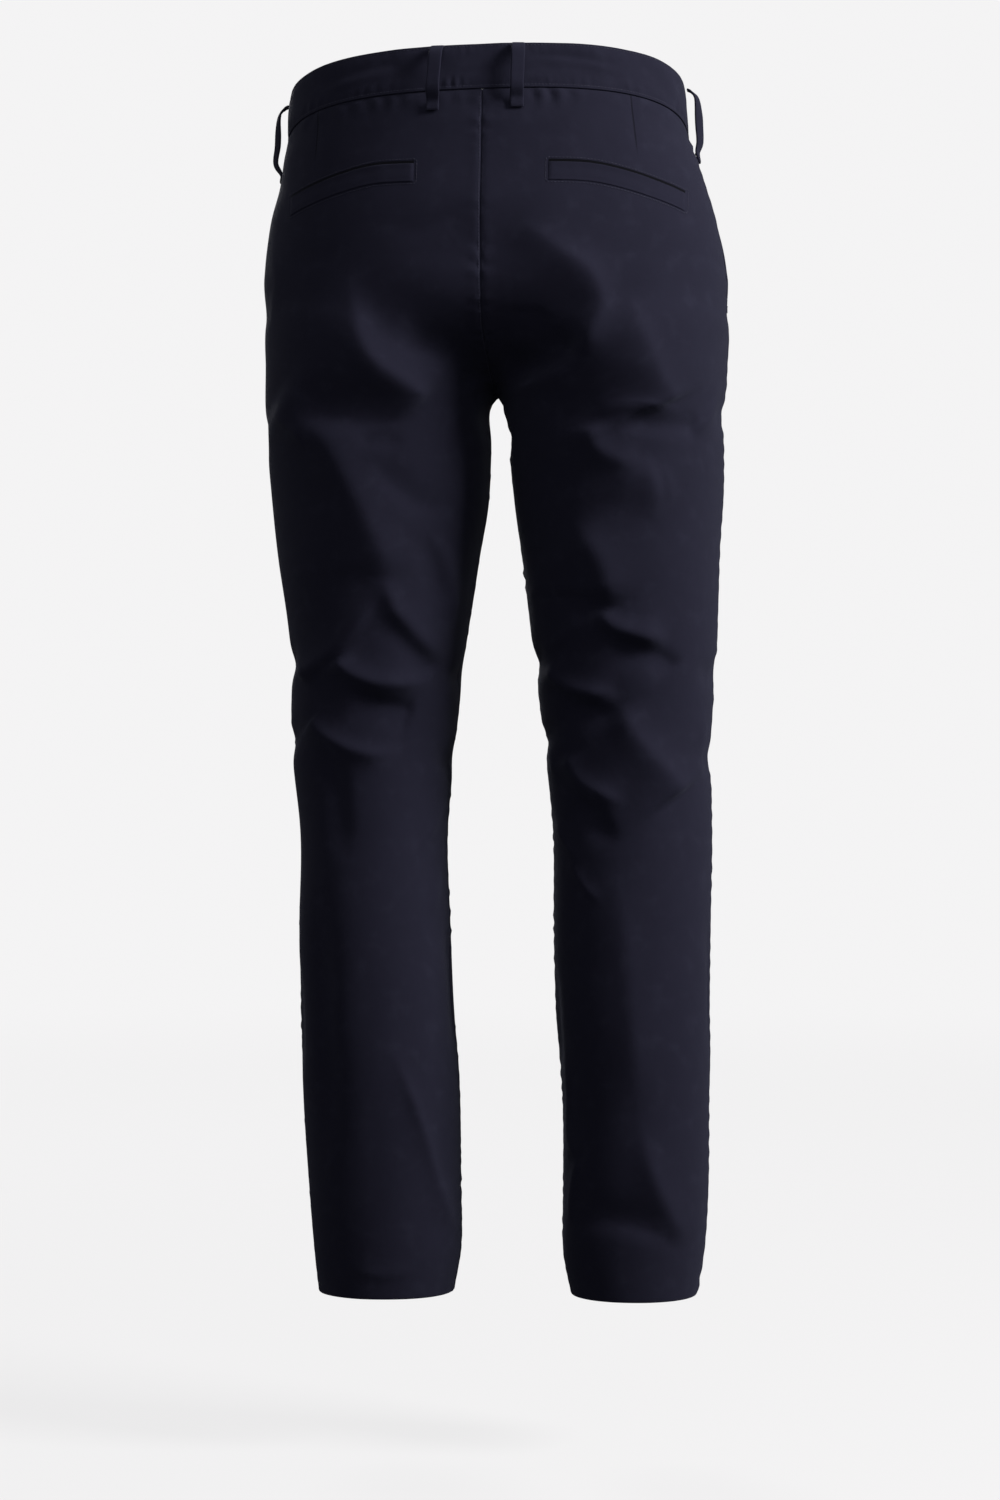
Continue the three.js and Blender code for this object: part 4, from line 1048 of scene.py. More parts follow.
def band_section():
    """Points round the band's section: how far outward and how far up, and the distance round it."""
    outer, inner = BAND["proud"], BAND["proud"] - BAND["thickness"]
    small, large = BAND_ROUNDING["low"], BAND_ROUNDING["high"]
    low, high = SEAM_GAP / 2 + small, BAND_HEIGHT - large
    up = np.concatenate([np.linspace(low, 6, 5), np.linspace(7.5, 32, 13), np.linspace(33, high, 5)])
    swell = BAND["swell"] * ease(2.4, 9, up) * ease(2.2, 8, BAND_HEIGHT - up)
    face = np.stack([outer + swell, up], -1)
    top_out = rounded_corner(outer - large, high, large, 30)
    top_in = rounded_corner(inner + large, high, large, 90)
    back = np.stack([np.full(9, inner), np.linspace(high, low, 9)], -1)
    low_in = rounded_corner(inner + small, low, small, 210)
    low_out = rounded_corner(outer - small, low, small, 270)
    section = np.concatenate([face, top_out, top_in, back, low_in, low_out])
    return section, line_sums(section)


def band_relief(x, y, up, along):
    """Swell and dips of the band's outside at a place round the waist and up the band."""
    rows = -0.28 * bell(up - BAND_ROWS["top"], 1.1) - 0.34 * bell(up - BAND_ROWS["bottom"], 1.2)
    strength = 0.6 + 0.4 * uneven_wave(along, 50, 120, 63)
    low_puckers = 0.5 * uneven_wave(along, 6, 12, 61) * bell(up - 5.5, 4) * ease(0, PUCKERS["start"], up)
    high_puckers = 0.26 * uneven_wave(along, 8, 16, 62) * bell(up - 33, 4)
    creases = np.zeros(np.shape(up))
    for fold in BAND_CREASES:
        signed, t = line_distance(x, up, bent_line(fold["line"]))
        width = np.where(signed < 0, *fold["flanks"])
        creases += fold["height"] * bell(signed, width) * ease(0, 0.3, t) * ease(0, 0.3, 1 - t) * (y > 0)
    slack = 0.35 * uneven_wave(along + 1.3 * up, 35, 90, 64)
    return rows + strength * (low_puckers + high_puckers) + ease(0, WAIST_HOLD, up) * (creases + slack)


front_reach = float(hip["front"](0)) + HIP_MIDDLE
band_start = -math.atan(BAND["overlap"] / front_reach)
band_end = 2 * math.pi + math.atan(BAND["underlap"] / front_reach)
print("ends of the band:", round(math.degrees(band_start)), round(math.degrees(band_end)), "degrees")


# %% Waistband
def band_push(angle):
    """How far the right end of the band is pushed in, to lie under the left end."""
    underlap = np.where(angle > math.pi, (angle - 2 * math.pi) * front_reach, -1e9)
    return (BAND["thickness"] + 0.5) * ease(-BAND["overlap"] - BAND["ramp"], -BAND["overlap"] - 3, underlap)


def band_surface(angle, up, lift=0.0):
    """Points on the outside of the band, and the direction outward there."""
    angle, up = np.broadcast_arrays(np.asarray(angle, float), np.asarray(up, float))
    points = waist_point(angle, up)
    normal = outward(points)
    relief = band_relief(points[..., 0], points[..., 1], up, angle * BAND_REACH)
    height = BAND["proud"] + relief - band_push(angle) + lift
    return points + normal * height[..., None], normal


def make_band():
    """The band, thinner at its two ends, and its length."""
    section, sums = band_section()
    angle = np.linspace(band_start, band_end, BAND_STEPS)
    reach = np.broadcast_to(section[None, :, 0], (BAND_STEPS, len(section)))
    up = np.broadcast_to(section[None, :, 1], reach.shape)
    turned = np.broadcast_to(angle[:, None], reach.shape)
    points = waist_point(turned, up)
    relief = band_relief(points[..., 0], points[..., 1], up, turned * BAND_REACH)
    outside = ease(-BAND["thickness"] + BAND["proud"], BAND["proud"], reach)
    height = reach - band_push(turned) + relief * mix(0.55, 1, outside)
    step = np.arange(BAND_STEPS)
    narrowing = 1 - 0.55 * (1 - ease(0, 3, np.minimum(step, step[::-1])))[:, None]
    centre = BAND["proud"] - BAND["thickness"] / 2 - band_push(turned)
    height = centre + (height - centre) * narrowing
    rings = points + outward(points) * height[..., None]
    distance = line_sums(rings[:, 0])
    uv = np.stack(np.broadcast_arrays(distance[:, None], sums[None]), -1)
    return swept("waistband_cloth", rings, uv), distance[-1]


waistband, band_length = make_band()
stand_for(waistband, "waistband")
print("waistband:", round(band_length), "mm long,", len(waistband.data.polygons) * 2, "triangles")

# %% [markdown]
# ## Belt loops
# A loop is a strip folded to 11 mm, edge-stitched on both sides, with its top caught in the band and its
# lower end folded under and tacked to the panel. It stands off the band, so that a belt passes. Its line is
# a smooth curve through a few places, and its section has a dip under each row of stitching.

# %% Table of belt loops
# x: place across at the back (y 1), front (y -1) or side (y 0). gap: room for the belt. drift: how far the
# loop's lower end lies to one side. twist: turn of the loop's middle in degrees.
LOOPS = [
    {"name": "belt_loop_back_left", "x": 38, "y": 1, "gap": 9.2, "lower": 0, "drift": 0, "twist": 2},
    {"name": "belt_loop_back_right", "x": -30, "y": 1, "gap": 9, "lower": 0, "drift": -3, "twist": -7},
    {"name": "belt_loop_side_left", "x": 180, "y": 0, "gap": 8.6, "lower": 10, "drift": 0, "twist": -32},
    {"name": "belt_loop_side_right", "x": -180, "y": 0, "gap": 8.2, "lower": 6, "drift": 0, "twist": 32},
    {"name": "belt_loop_front_left", "x": 72, "y": -1, "gap": 9.8, "lower": 0, "drift": 1, "twist": 3},
    {"name": "belt_loop_front_right", "x": -72, "y": -1, "gap": 9.8, "lower": 0, "drift": -1, "twist": -3},
]
LOOP = {"width": 11, "thickness": 1.9, "below": 17, "tab": 7, "edge_row": 2.0}
LOOP_RINGS = 60
print("belt loops:", len(LOOPS), "of width", LOOP["width"], "mm")


# %% Belt loops
def smooth_path(places, steps):
    """Points at even distances on a smooth curve through the places."""
    fine = bent_line(places, 400)
    sums = np.concatenate([[0], np.cumsum(np.linalg.norm(np.diff(fine, axis=0), axis=1))])
    distance = np.linspace(0, sums[-1], steps)
    return np.stack([np.interp(distance, sums, fine[:, k]) for k in range(fine.shape[1])], -1), distance


def loop_angle(row):
    if row["y"] == 0:
        return math.copysign(math.pi / 2, row["x"])
    place = point_on(row["y"], row["x"], BAND_HEIGHT / 2)
    return math.atan2(place[0], -(place[1] - HIP_MIDDLE))


def loop_section():
    half = LOOP["width"] / 2
    t = np.linspace(-1, 1, 19)
    across = half * np.sign(t) * (1 - (1 - np.abs(t)) ** 1.25)
    rise = np.sqrt(np.clip(1 - np.abs(t) ** 7, 0, 1)) * LOOP["thickness"] / 2
    groove = 0.24 * np.exp(-(((np.abs(across) - (half - LOOP["edge_row"])) / 0.7) ** 2))
    outer = np.stack([across, rise - groove], -1)
    inner = np.stack([across[-2:0:-1], -rise[-2:0:-1]], -1)
    return np.concatenate([outer, inner])


def loop_frame(row):
    """The loop's middle line, with the directions across it and out of it."""
    rest = BAND["proud"] + 0.5 + LOOP["thickness"] / 2
    bottom = -LOOP["below"] - row["lower"]
    gap = row["gap"]
    places = [
        (rest + 0.2, BAND_HEIGHT - 1.0),
        (rest + gap * 0.5, BAND_HEIGHT - 3.2),
        (rest + gap * 0.98, BAND_HEIGHT - 10),
        (rest + gap, (BAND_HEIGHT + bottom) / 2),
        (rest + gap * 0.82, bottom + LOOP["tab"] + 10),
        (rest + gap * 0.12, bottom + LOOP["tab"] + 1),
        (rest - 0.3, bottom),
    ]
    path, distance = smooth_path(places, LOOP_RINGS)
    angle = loop_angle(row)
    base = waist_point(angle, BAND_HEIGHT / 2)
    out = outward(base[None])[0]
    out[2] = 0
    out /= np.linalg.norm(out)
    across = np.cross([0, 0, 1], out)
    share = distance / distance[-1]
    on_cloth = waist_point(np.full(LOOP_RINGS, angle), path[:, 1])
    drift = -row["drift"] * np.sign(across[0] or 1) * ease(0, 1, share)
    centre = on_cloth + out * path[:, :1] + np.outer(drift, across)
    tangent = np.gradient(centre, axis=0)
    tangent /= np.linalg.norm(tangent, axis=1, keepdims=True)
    turn = np.radians(row["twist"] * np.sin(math.pi * share))[:, None]
    side = across * np.cos(turn) + np.cross(tangent, across) * np.sin(turn)
    return centre, side, np.cross(tangent, side), distance


def make_loop(row):
    centre, side, out, distance = loop_frame(row)
    base = loop_section()
    sums = line_sums(base)
    thicken = 1 + 0.28 * np.exp(-(((distance - distance[-1] + 3.5) / 3.5) ** 2))
    ends = ease(-1.2, 1.0, distance) * ease(-1.2, 1.0, distance[-1] - distance)
    soft = 1 + 0.035 * uneven_wave(distance, 12, 40, 71 + abs(int(row["x"])))
    if out[0] @ (centre[LOOP_RINGS // 2] - centre[0]) < 0:
        out = -out
    across = base[None, :, 0:1] * side[:, None] * soft[:, None, None]
    outward_part = base[None, :, 1:2] * out[:, None] * (thicken * ends)[:, None, None]
    rings = centre[:, None] + across + outward_part
    uv = np.stack(np.broadcast_arrays(sums[None] + 40.0, distance[:, None]), -1)
    piece = swept(row["name"] + "_cloth", rings, uv)
    return stand_for(piece, row["name"]), (centre, side, out, distance)


loops = {}
loop_lines = {}
for row in LOOPS:
    loops[row["name"]], loop_lines[row["name"]] = make_loop(row)
print("loops:", len(loops), "each", round(loop_lines["belt_loop_back_left"][3][-1]), "mm long")

# %% [markdown]
# ## Back pocket welts
# Each back pocket shows as a narrow welt: a folded strip whose upper edge is the pocket opening. The fold is
# round and stands a little off the panel. A narrow flat strip of the welt reaches up over the panel above the
# fold and is painted nearly black, as painted shade in the opening, so that the opening reads as a dark slit.
# The welt lies on the panel, which is why it takes the panel's own folds and slackness.

# %% Back pocket welts
WELT_LINE = [(54.5, -50), (88, -50.5), (118, -56), (144, -63), (162, -69)]
WELT = {"height": 15, "rim": 0.6, "row": 12.9, "lip": 0.5}
WELT_STEPS = 70


def cloth_point(facing, x, z, lift=0.0):
    """Points a given height over the outside of a panel, and the direction outward there."""
    points = point_on(facing, x, z)
    normal = outward(points)
    height = fold_height(points, normal, FOLDS) + slackness(points) + lift
    return points + normal * height[..., None], normal


def welt_section():
    """Points round a welt's section: how far down from the pocket's edge, and how high over the panel."""
    height, rim = WELT["height"], WELT["rim"]
    down = np.linspace(rim, height - rim, 12)
    body = 0.55 + 0.30 * bell(down, 3.2) + 0.12 * np.sin(math.pi * down / height)
    body -= 0.22 * bell(down - WELT["row"], 0.9)
    turn = np.radians([-60, 0, 60])
    upper = np.stack([rim - rim * np.cos(turn), 0.8 + 0.45 * np.sin(turn)], -1)
    lower = np.stack([height - rim + rim * np.cos(turn[::-1]), 0.55 + 0.3 * np.sin(turn[::-1])], -1)
    face = np.stack([down, 0.35 + body], -1)
    under = np.stack([down[::-1], np.full(len(down), 0.22)], -1)
    # The first places make a flat strip over the panel above the fold, which the material paints nearly
    # black: painted shade in the pocket opening.
    painted_shade_strip = [(-2.5, 0.30), (-0.4, 0.30)]
    return np.concatenate([painted_shade_strip, upper, face, lower, under, [(-2.5, 0.14)]])


def make_welt(side):
    sign = SIGNS[side]
    path, distance = smooth_path(WELT_LINE, WELT_STEPS)
    section = welt_section()
    down, height = section[None, :, 0], section[None, :, 1]
    on_welt = (down >= 0) & (height > 0.25)
    beat = 0.16 * uneven_wave(distance, 9, 22, 81 + sign)[:, None]
    lip = WELT["lip"] * np.sin(math.pi * distance / distance[-1])[:, None] ** 2
    ends = 1 - 0.75 * (1 - ease(0, 2.0, np.minimum(distance, distance[-1] - distance)))[:, None]
    lift = height * ends + beat * 0.3 * on_welt + lip * bell(down, 3.0) * on_welt
    lift = np.maximum(lift, 0.14)
    # The strip and the top of the fold carry the mask for the painted shade of the slit.
    slit_shade_mask = np.broadcast_to((down < 0.35) & (height < 0.75), lift.shape)
    x = np.broadcast_to(sign * path[:, :1], lift.shape)
    rings, _ = cloth_point(1, x, path[:, 1:2] - down, lift)
    uv = np.stack(np.broadcast_arrays(distance[:, None] * sign, -line_sums(section)[None]), -1)
    piece = swept(f"back_welt_{side}_cloth", rings, uv, {"slit_painted_shade": slit_shade_mask * 1.0})
    return stand_for(piece, f"back_welt_{side}")


welts = {side: make_welt(side) for side in SIGNS}
print("welts:", [len(w.data.polygons) for w in welts.values()])

# %% [markdown]
# ## Pocket facings and fly shield
# Behind each slanted front pocket mouth lies a facing of the same twill, and behind the zip a fly shield.
# They show only where an edge stands off, so they are plain sheets that follow the panels from beneath.


# %% Pocket facings and fly shield
FACING = {"top": 2.5, "below": 14, "behind": 8, "shows": 20, "depth": 3.1, "rows": 70, "columns": 26}
SHIELD = {"left": 34, "right": -10, "top": -1, "bottom": -180, "depth": 8.7, "thickness": 1.4}


def make_facing(side):
    sign = SIGNS[side]
    level = np.linspace(FACING["top"], -(POCKET_MOUTH["depth"] + FACING["below"]), FACING["rows"])
    lines = row_lines(sign, "front", level, np.ones(len(level), bool), 0.1)
    points = np.empty((FACING["rows"], FACING["columns"], 3))
    uv = np.empty((FACING["rows"], FACING["columns"], 2))
    for i, line in enumerate(lines):
        side_at = line_sums(line)[np.argmax(line[:, 1] <= depths["middle"](level[i]))]
        reach = mouth_width(level[i]) + FACING["shows"]
        distance = side_at + np.linspace(-FACING["behind"], reach, FACING["columns"])
        points[i] = along_line(line, distance)
        uv[i] = np.stack([sign * distance, np.full(FACING["columns"], level[i])], -1)
    normal = outward(points)
    lift = fold_height(points, normal, FOLDS) + slackness(points) - FACING["depth"]
    middle = points + normal * lift[..., None]
    if sign < 0:
        middle, uv = middle[:, ::-1], uv[:, ::-1]
    piece = shell(f"pocket_facing_{side}_cloth", middle, CLOTH, uv)
    return stand_for(piece, f"pocket_facing_{side}")


def fly_sheet(name, node, size, rows, columns):
    """A sheet behind the fly, from one place across to another, at one depth under the cloth."""
    x = np.linspace(size["right"], size["left"], columns)[None]
    seam = waist_level(x, point_on(-1, x, 0.0)[..., 1])
    z = mix(seam + size["top"], size["bottom"], np.linspace(0, 1, rows)[:, None])
    middle, _ = cloth_point(-1, np.broadcast_to(x, z.shape), z, -size["depth"] - size["thickness"] / 2)
    uv = np.stack(np.broadcast_arrays(x, z), -1)
    return stand_for(shell(name, middle, size["thickness"], uv), node)


facings = {side: make_facing(side) for side in SIGNS}
shield = fly_sheet("fly_shield_cloth", "fly_shield", SHIELD, 80, 20)
print("facings and shield:", [len(p.data.polygons) for p in [*facings.values(), shield]])

# %% [markdown]
# ## Zip
# The zip lies under the lapped front: a woven tape, a chain of small moulded teeth that mesh from both
# sides, and a slider with a pull. The teeth repeat at an even pitch along a line that bends with the cloth.
# Repeats like these, and every stitch later on, are made with Geometry Nodes: one small shape is placed at
# even steps along a curve and turned to the curve and to the cloth. One tree serves them all.

# %% Node helpers
def add_socket(tree, name, kind, direction="INPUT", value=None, smallest=None):
    """Adds a socket to a node group. The kind is Float, Vector, Material or Geometry."""
    socket = tree.interface.new_socket(name, in_out=direction, socket_type="NodeSocket" + kind)
    if value is not None:
        socket.default_value = value
    if smallest is not None:
        socket.min_value = smallest


def link_chain(tree, *pairs):
    for source, target in pairs:
        tree.links.new(source, target)


def math_node(tree, operation, *values):
    """A Math node whose inputs are numbers or other nodes' outputs. Gives back its output."""
    node = tree.nodes.new("ShaderNodeMath")
    node.operation = operation
    for socket, value in zip(node.inputs, values):
        if isinstance(value, (int, float)):
            socket.default_value = value
        else:
            tree.links.new(value, socket)
    return node.outputs[0]


def plus(tree, a, b):
    return math_node(tree, "ADD", a, b)


def minus(tree, a, b):
    return math_node(tree, "SUBTRACT", a, b)


def times(tree, a, b):
    return math_node(tree, "MULTIPLY", a, b)


print("node helpers ready")


# %% Geometry Nodes tree: small shapes along lines on the cloth
# Each row is an input of the tree, with its usual value and its smallest, in metres or as a share.
SHAPE_INPUTS = [
    ("Pitch", 0.003, 0.0001),
    ("Length", 0.0024, 0.0001),
    ("Width", 0.0006, 0.00005),
    ("Height", 0.0005, 0.00005),
    ("Unevenness", 0.12, 0.0),
]
UNEVENNESS_SEED = 5


def unit_shape(tree, shape):
    """The shape before it gets its size: a bead for a stitch, a cube for a tooth."""
    if shape == "tooth":
        unit = tree.nodes.new("GeometryNodeMeshCube")
        unit.inputs["Size"].default_value = (1, 1, 1)
    else:
        unit = tree.nodes.new("GeometryNodeMeshUVSphere")
        unit.inputs["Segments"].default_value = 6
        unit.inputs["Rings"].default_value = 5
        unit.inputs["Radius"].default_value = 0.5
    return unit.outputs["Mesh"]


def uneven_scale(tree, unevenness):
    """A random scale close to 1 for every shape."""
    random = tree.nodes.new("FunctionNodeRandomValue")
    random.data_type = "FLOAT"
    random.inputs["Seed"].default_value = UNEVENNESS_SEED
    limits = [socket for socket in random.inputs if socket.type == "VALUE"]
    tree.links.new(minus(tree, 1.0, unevenness), limits[0])
    tree.links.new(plus(tree, 1.0, unevenness), limits[1])
    return next(socket for socket in random.outputs if socket.type == "VALUE")


def along_lines_tree(name, shape):
    """Places a small shape, "stitch" or "tooth", along every line of a mesh, turned to cloth_normal."""
    tree = bpy.data.node_groups.new(name, "GeometryNodeTree")
    add_socket(tree, "Geometry", "Geometry")
    for label, value, smallest in SHAPE_INPUTS:
        add_socket(tree, label, "Float", "INPUT", value, smallest)
    add_socket(tree, "Material", "Material")
    add_socket(tree, "Geometry", "Geometry", "OUTPUT")
    new = tree.nodes.new
    entry = new("NodeGroupInput").outputs
    exit_node = new("NodeGroupOutput")
    curve = new("GeometryNodeMeshToCurve")
    resample = new("GeometryNodeResampleCurve")
    resample.mode = "LENGTH"
    size = new("ShaderNodeCombineXYZ")
    scaled = new("GeometryNodeTransform")
    smooth = new("GeometryNodeSetShadeSmooth")
    smooth.inputs["Shade Smooth"].default_value = shape == "stitch"
    tangent = new("GeometryNodeInputTangent")
    facing = new("GeometryNodeInputNamedAttribute")
    facing.data_type = "FLOAT_VECTOR"
    facing.inputs["Name"].default_value = "cloth_normal"
    lengthwise = new("FunctionNodeAlignRotationToVector")
    lengthwise.axis = "X"
    upright = new("FunctionNodeAlignRotationToVector")
    upright.axis = "Z"
    upright.pivot_axis = "X"
    place = new("GeometryNodeInstanceOnPoints")
    realize = new("GeometryNodeRealizeInstances")
    paint = new("GeometryNodeSetMaterial")
    link_chain(
        tree,
        (entry["Geometry"], curve.inputs["Mesh"]),
        (curve.outputs["Curve"], resample.inputs["Curve"]),
        (entry["Pitch"], resample.inputs["Length"]),
        (entry["Length"], size.inputs["X"]),
        (entry["Width"], size.inputs["Y"]),
        (entry["Height"], size.inputs["Z"]),
        (unit_shape(tree, shape), scaled.inputs["Geometry"]),
        (size.outputs["Vector"], scaled.inputs["Scale"]),
        (scaled.outputs["Geometry"], smooth.inputs["Geometry"]),
        (tangent.outputs["Tangent"], lengthwise.inputs["Vector"]),
        (lengthwise.outputs["Rotation"], upright.inputs["Rotation"]),
        (facing.outputs["Attribute"], upright.inputs["Vector"]),
        (resample.outputs["Curve"], place.inputs["Points"]),
        (smooth.outputs["Geometry"], place.inputs["Instance"]),
        (upright.outputs["Rotation"], place.inputs["Rotation"]),
        (uneven_scale(tree, entry["Unevenness"]), place.inputs["Scale"]),
        (place.outputs["Instances"], realize.inputs["Geometry"]),
        (realize.outputs["Geometry"], paint.inputs["Geometry"]),
        (entry["Material"], paint.inputs["Material"]),
        (paint.outputs["Geometry"], exit_node.inputs["Geometry"]),
    )
    return tree


stitch_tree = along_lines_tree("stitches_along_lines", "stitch")
tooth_tree = along_lines_tree("teeth_along_lines", "tooth")
print("trees:", [tree.name for tree in (stitch_tree, tooth_tree)])


# %% Lines for those trees
def even_line(points, normals, step=1.0):
    """A line with points about every step along it, so that it bends smoothly."""
    sums = line_sums(points)
    count = max(int(sums[-1] / step), 2)
    distance = np.linspace(0, sums[-1], count + 1)
    both = np.concatenate([points, normals], axis=1)
    fine = np.stack([np.interp(distance, sums, both[:, k]) for k in range(6)], -1)
    return fine[:, :3], fine[:, 3:]


def lines_object(name, lines):
    vertices, edges, normals = [], [], []
    for points, normal in lines:
        points, normal = even_line(np.asarray(points), np.asarray(normal))
        start = len(vertices)
        vertices += (points / 1000).tolist()
        normals += normal.tolist()
        edges += [(start + i, start + i + 1) for i in range(len(points) - 1)]
    mesh = bpy.data.meshes.new(name)
    mesh.from_pydata(vertices, edges, [])
    attribute = mesh.attributes.new("cloth_normal", "FLOAT_VECTOR", "POINT")
    attribute.data.foreach_set("vector", np.asarray(normals, np.float32).ravel())
    return in_scene(name, mesh)


def grown(name, tree, lines, slot, **values):
    """Runs a tree on some lines, and keeps the result as a plain mesh that rides with the trousers."""
    source = lines_object(name + "_lines", lines)
    modifier = source.modifiers.new("grow", "NODES")
    modifier.node_group = tree
    for item in tree.interface.items_tree:
        if item.in_out == "INPUT" and item.name in values:
            modifier[item.identifier] = values[item.name]
    evaluated = source.evaluated_get(bpy.context.evaluated_depsgraph_get())
    mesh = bpy.data.meshes.new_from_object(evaluated)
    mesh.name = name
    bpy.data.objects.remove(source)
    piece = in_scene(name, mesh)
    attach(piece, "root")
    return piece


print("points on a line of 10 mm:", len(even_line(np.eye(2, 3) * 10, np.eye(2, 3))[0]))

# %% [markdown]
# ## Finishes
# Cotton twill is matt, with a fine diagonal rib, a short nap that brightens it slightly at grazing angles,
# and small changes of shade where it was washed and rubbed. The rib and the nap are node groups, so that
# every cloth piece can use them with its own values. They read the piece's UV map, which is in metres along
# the cloth, and so the rib runs with the cut of each piece.


# %% Noise and ramps
def noise_node(tree, vector, scale, detail=2.0, roughness=0.5):
    node = tree.nodes.new("ShaderNodeTexNoise")
    node.inputs["Scale"].default_value = scale
    node.inputs["Detail"].default_value = detail
    node.inputs["Roughness"].default_value = roughness
    tree.links.new(vector, node.inputs["Vector"])
    return node.outputs["Fac"]


def ramp(tree, value, low, high, out_low=0.0, out_high=1.0):
    node = tree.nodes.new("ShaderNodeMapRange")
    node.interpolation_type = "SMOOTHSTEP"
    for name, number in (("From Min", low), ("From Max", high), ("To Min", out_low), ("To Max", out_high)):
        node.inputs[name].default_value = number
    tree.links.new(value, node.inputs["Value"])
    return node.outputs["Result"]


print("noise and ramp helpers ready")


# %% Weave and nap as node groups
# One full turn for each rib, and three for the threads that cross it.
RIB_TURN, THREAD_TURN = 6.2832, 18.85


def weave_group():
    """The diagonal rib of twill, from a UV map in metres: Height for bump, and Shade, painted light on each
    rib's crest.
    """
    tree = bpy.data.node_groups.new("twill_rib", "ShaderNodeTree")
    add_socket(tree, "Vector", "Vector")
    add_socket(tree, "Rib Spacing", "Float", "INPUT", 0.00062)
    add_socket(tree, "Slope", "Float", "INPUT", 1.7)
    add_socket(tree, "Height", "Float", "OUTPUT")
    add_socket(tree, "Shade", "Float", "OUTPUT")
    entry = tree.nodes.new("NodeGroupInput").outputs
    exit_node = tree.nodes.new("NodeGroupOutput")
    parts = tree.nodes.new("ShaderNodeSeparateXYZ")
    tree.links.new(entry["Vector"], parts.inputs[0])
    u, v = parts.outputs["X"], parts.outputs["Y"]
    wander = times(tree, noise_node(tree, entry["Vector"], 380, 1.0), 0.00035)
    across = plus(tree, times(tree, u, entry["Slope"]), plus(tree, v, wander))
    ribs = math_node(tree, "DIVIDE", across, entry["Rib Spacing"])
    rib = math_node(tree, "SINE", times(tree, ribs, RIB_TURN))
    threads = math_node(tree, "DIVIDE", v, entry["Rib Spacing"])
    steps = math_node(tree, "SINE", times(tree, threads, THREAD_TURN))
    height = plus(tree, times(tree, rib, 0.5), times(tree, steps, 0.15))
    tree.links.new(height, exit_node.inputs["Height"])
    # Painted light: the colour is a little lighter where each rib's crest stands up.
    tree.links.new(plus(tree, times(tree, rib, 0.07), 1.0), exit_node.inputs["Shade"])
    return tree


def nap_group():
    """Wash and nap: slow changes of shade, slubs along the threads, fine lint and a shallow crumple."""
    tree = bpy.data.node_groups.new("washed_nap", "ShaderNodeTree")
    add_socket(tree, "Vector", "Vector")
    add_socket(tree, "Mottle", "Float", "INPUT", 0.16)
    add_socket(tree, "Crumple", "Float", "INPUT", 7.0)
    add_socket(tree, "Slub", "Float", "INPUT", 0.10)
    add_socket(tree, "Shade", "Float", "OUTPUT")
    add_socket(tree, "Height", "Float", "OUTPUT")
    entry = tree.nodes.new("NodeGroupInput").outputs
    exit_node = tree.nodes.new("NodeGroupOutput")
    slow = minus(tree, noise_node(tree, entry["Vector"], 24, 4.0, 0.6), 0.5)
    stretched = tree.nodes.new("ShaderNodeMapping")
    stretched.inputs["Scale"].default_value = (1300, 90, 1)
    tree.links.new(entry["Vector"], stretched.inputs["Vector"])
    slub = minus(tree, noise_node(tree, stretched.outputs["Vector"], 1.0, 2.0), 0.5)
    lint = minus(tree, noise_node(tree, entry["Vector"], 1500, 2.0), 0.5)
    shade = times(tree, slow, entry["Mottle"])
    shade = plus(tree, shade, times(tree, slub, entry["Slub"]))
    shade = plus(tree, shade, times(tree, lint, 0.12))
    tree.links.new(plus(tree, shade, 1.0), exit_node.inputs["Shade"])
    height = plus(tree, times(tree, lint, 0.6), times(tree, slub, 0.4))
    crumple = times(tree, noise_node(tree, entry["Vector"], 95, 3.0, 0.45), entry["Crumple"])
    tree.links.new(plus(tree, height, crumple), exit_node.inputs["Height"])
    return tree


twill_rib = weave_group()
washed_nap = nap_group()
print("groups:", twill_rib.name, washed_nap.name)

# %% [markdown]
# ## The twill itself
# Four versions of one cloth: on the panels, with a little wear at the seams and a groove at the darts, whose
# line is also painted darker as painted shade; on the band and loops; on the welts, with the slit painted
# nearly black as painted shade; and on the pieces inside, painted a little darker as painted shade. Sheen,
# specular and the like are the same all over, so they are set on the shader's own sockets.

# %% Colours and relief
NAVY = (0.0068, 0.0067, 0.0128)
NAVY_RUBBED = (0.0125, 0.0128, 0.0222)
# The pieces inside are the same twill painted a tenth darker: painted shade for lying behind the panels.
NAVY_PAINTED_SHADE_INSIDE = tuple(0.9 * c for c in NAVY)
TWILL_SURFACE = {
    "Sheen Weight": 0.04,
    "Sheen Roughness": 0.5,
    "Sheen Tint": (0.50, 0.54, 0.80, 1),
    "Specular IOR Level": 0.03,
}


def mix_colours(tree, blend, first, second):
    """A Mix node for two colours, each a tuple or a node's output. Gives back its factor and its result."""
    node = tree.nodes.new("ShaderNodeMix")
    node.data_type = "RGBA"
    node.blend_type = blend
    factor = node.inputs["Factor"]
    factor.default_value = 1.0
    sockets = [socket for socket in node.inputs if socket.type == "RGBA"]
    for socket, value in zip(sockets, (first, second)):
        if isinstance(value, tuple):
            socket.default_value = (*value, 1)
        else:
            tree.links.new(value, socket)
    return factor, next(socket for socket in node.outputs if socket.type == "RGBA")


def shaded(tree, colour, *shades):
    """A colour multiplied by one or more shades."""
    for shade in shades:
        _, colour = mix_colours(tree, "MULTIPLY", colour, shade)
    return colour


def add_bump(tree, height, strength, distance):
    bump = tree.nodes.new("ShaderNodeBump")
    bump.inputs["Strength"].default_value = strength
    bump.inputs["Distance"].default_value = distance
    tree.links.new(height, bump.inputs["Height"])
    tree.links.new(bump.outputs["Normal"], tree.nodes["Principled BSDF"].inputs["Normal"])


print("navy:", NAVY, "and rubbed:", NAVY_RUBBED)


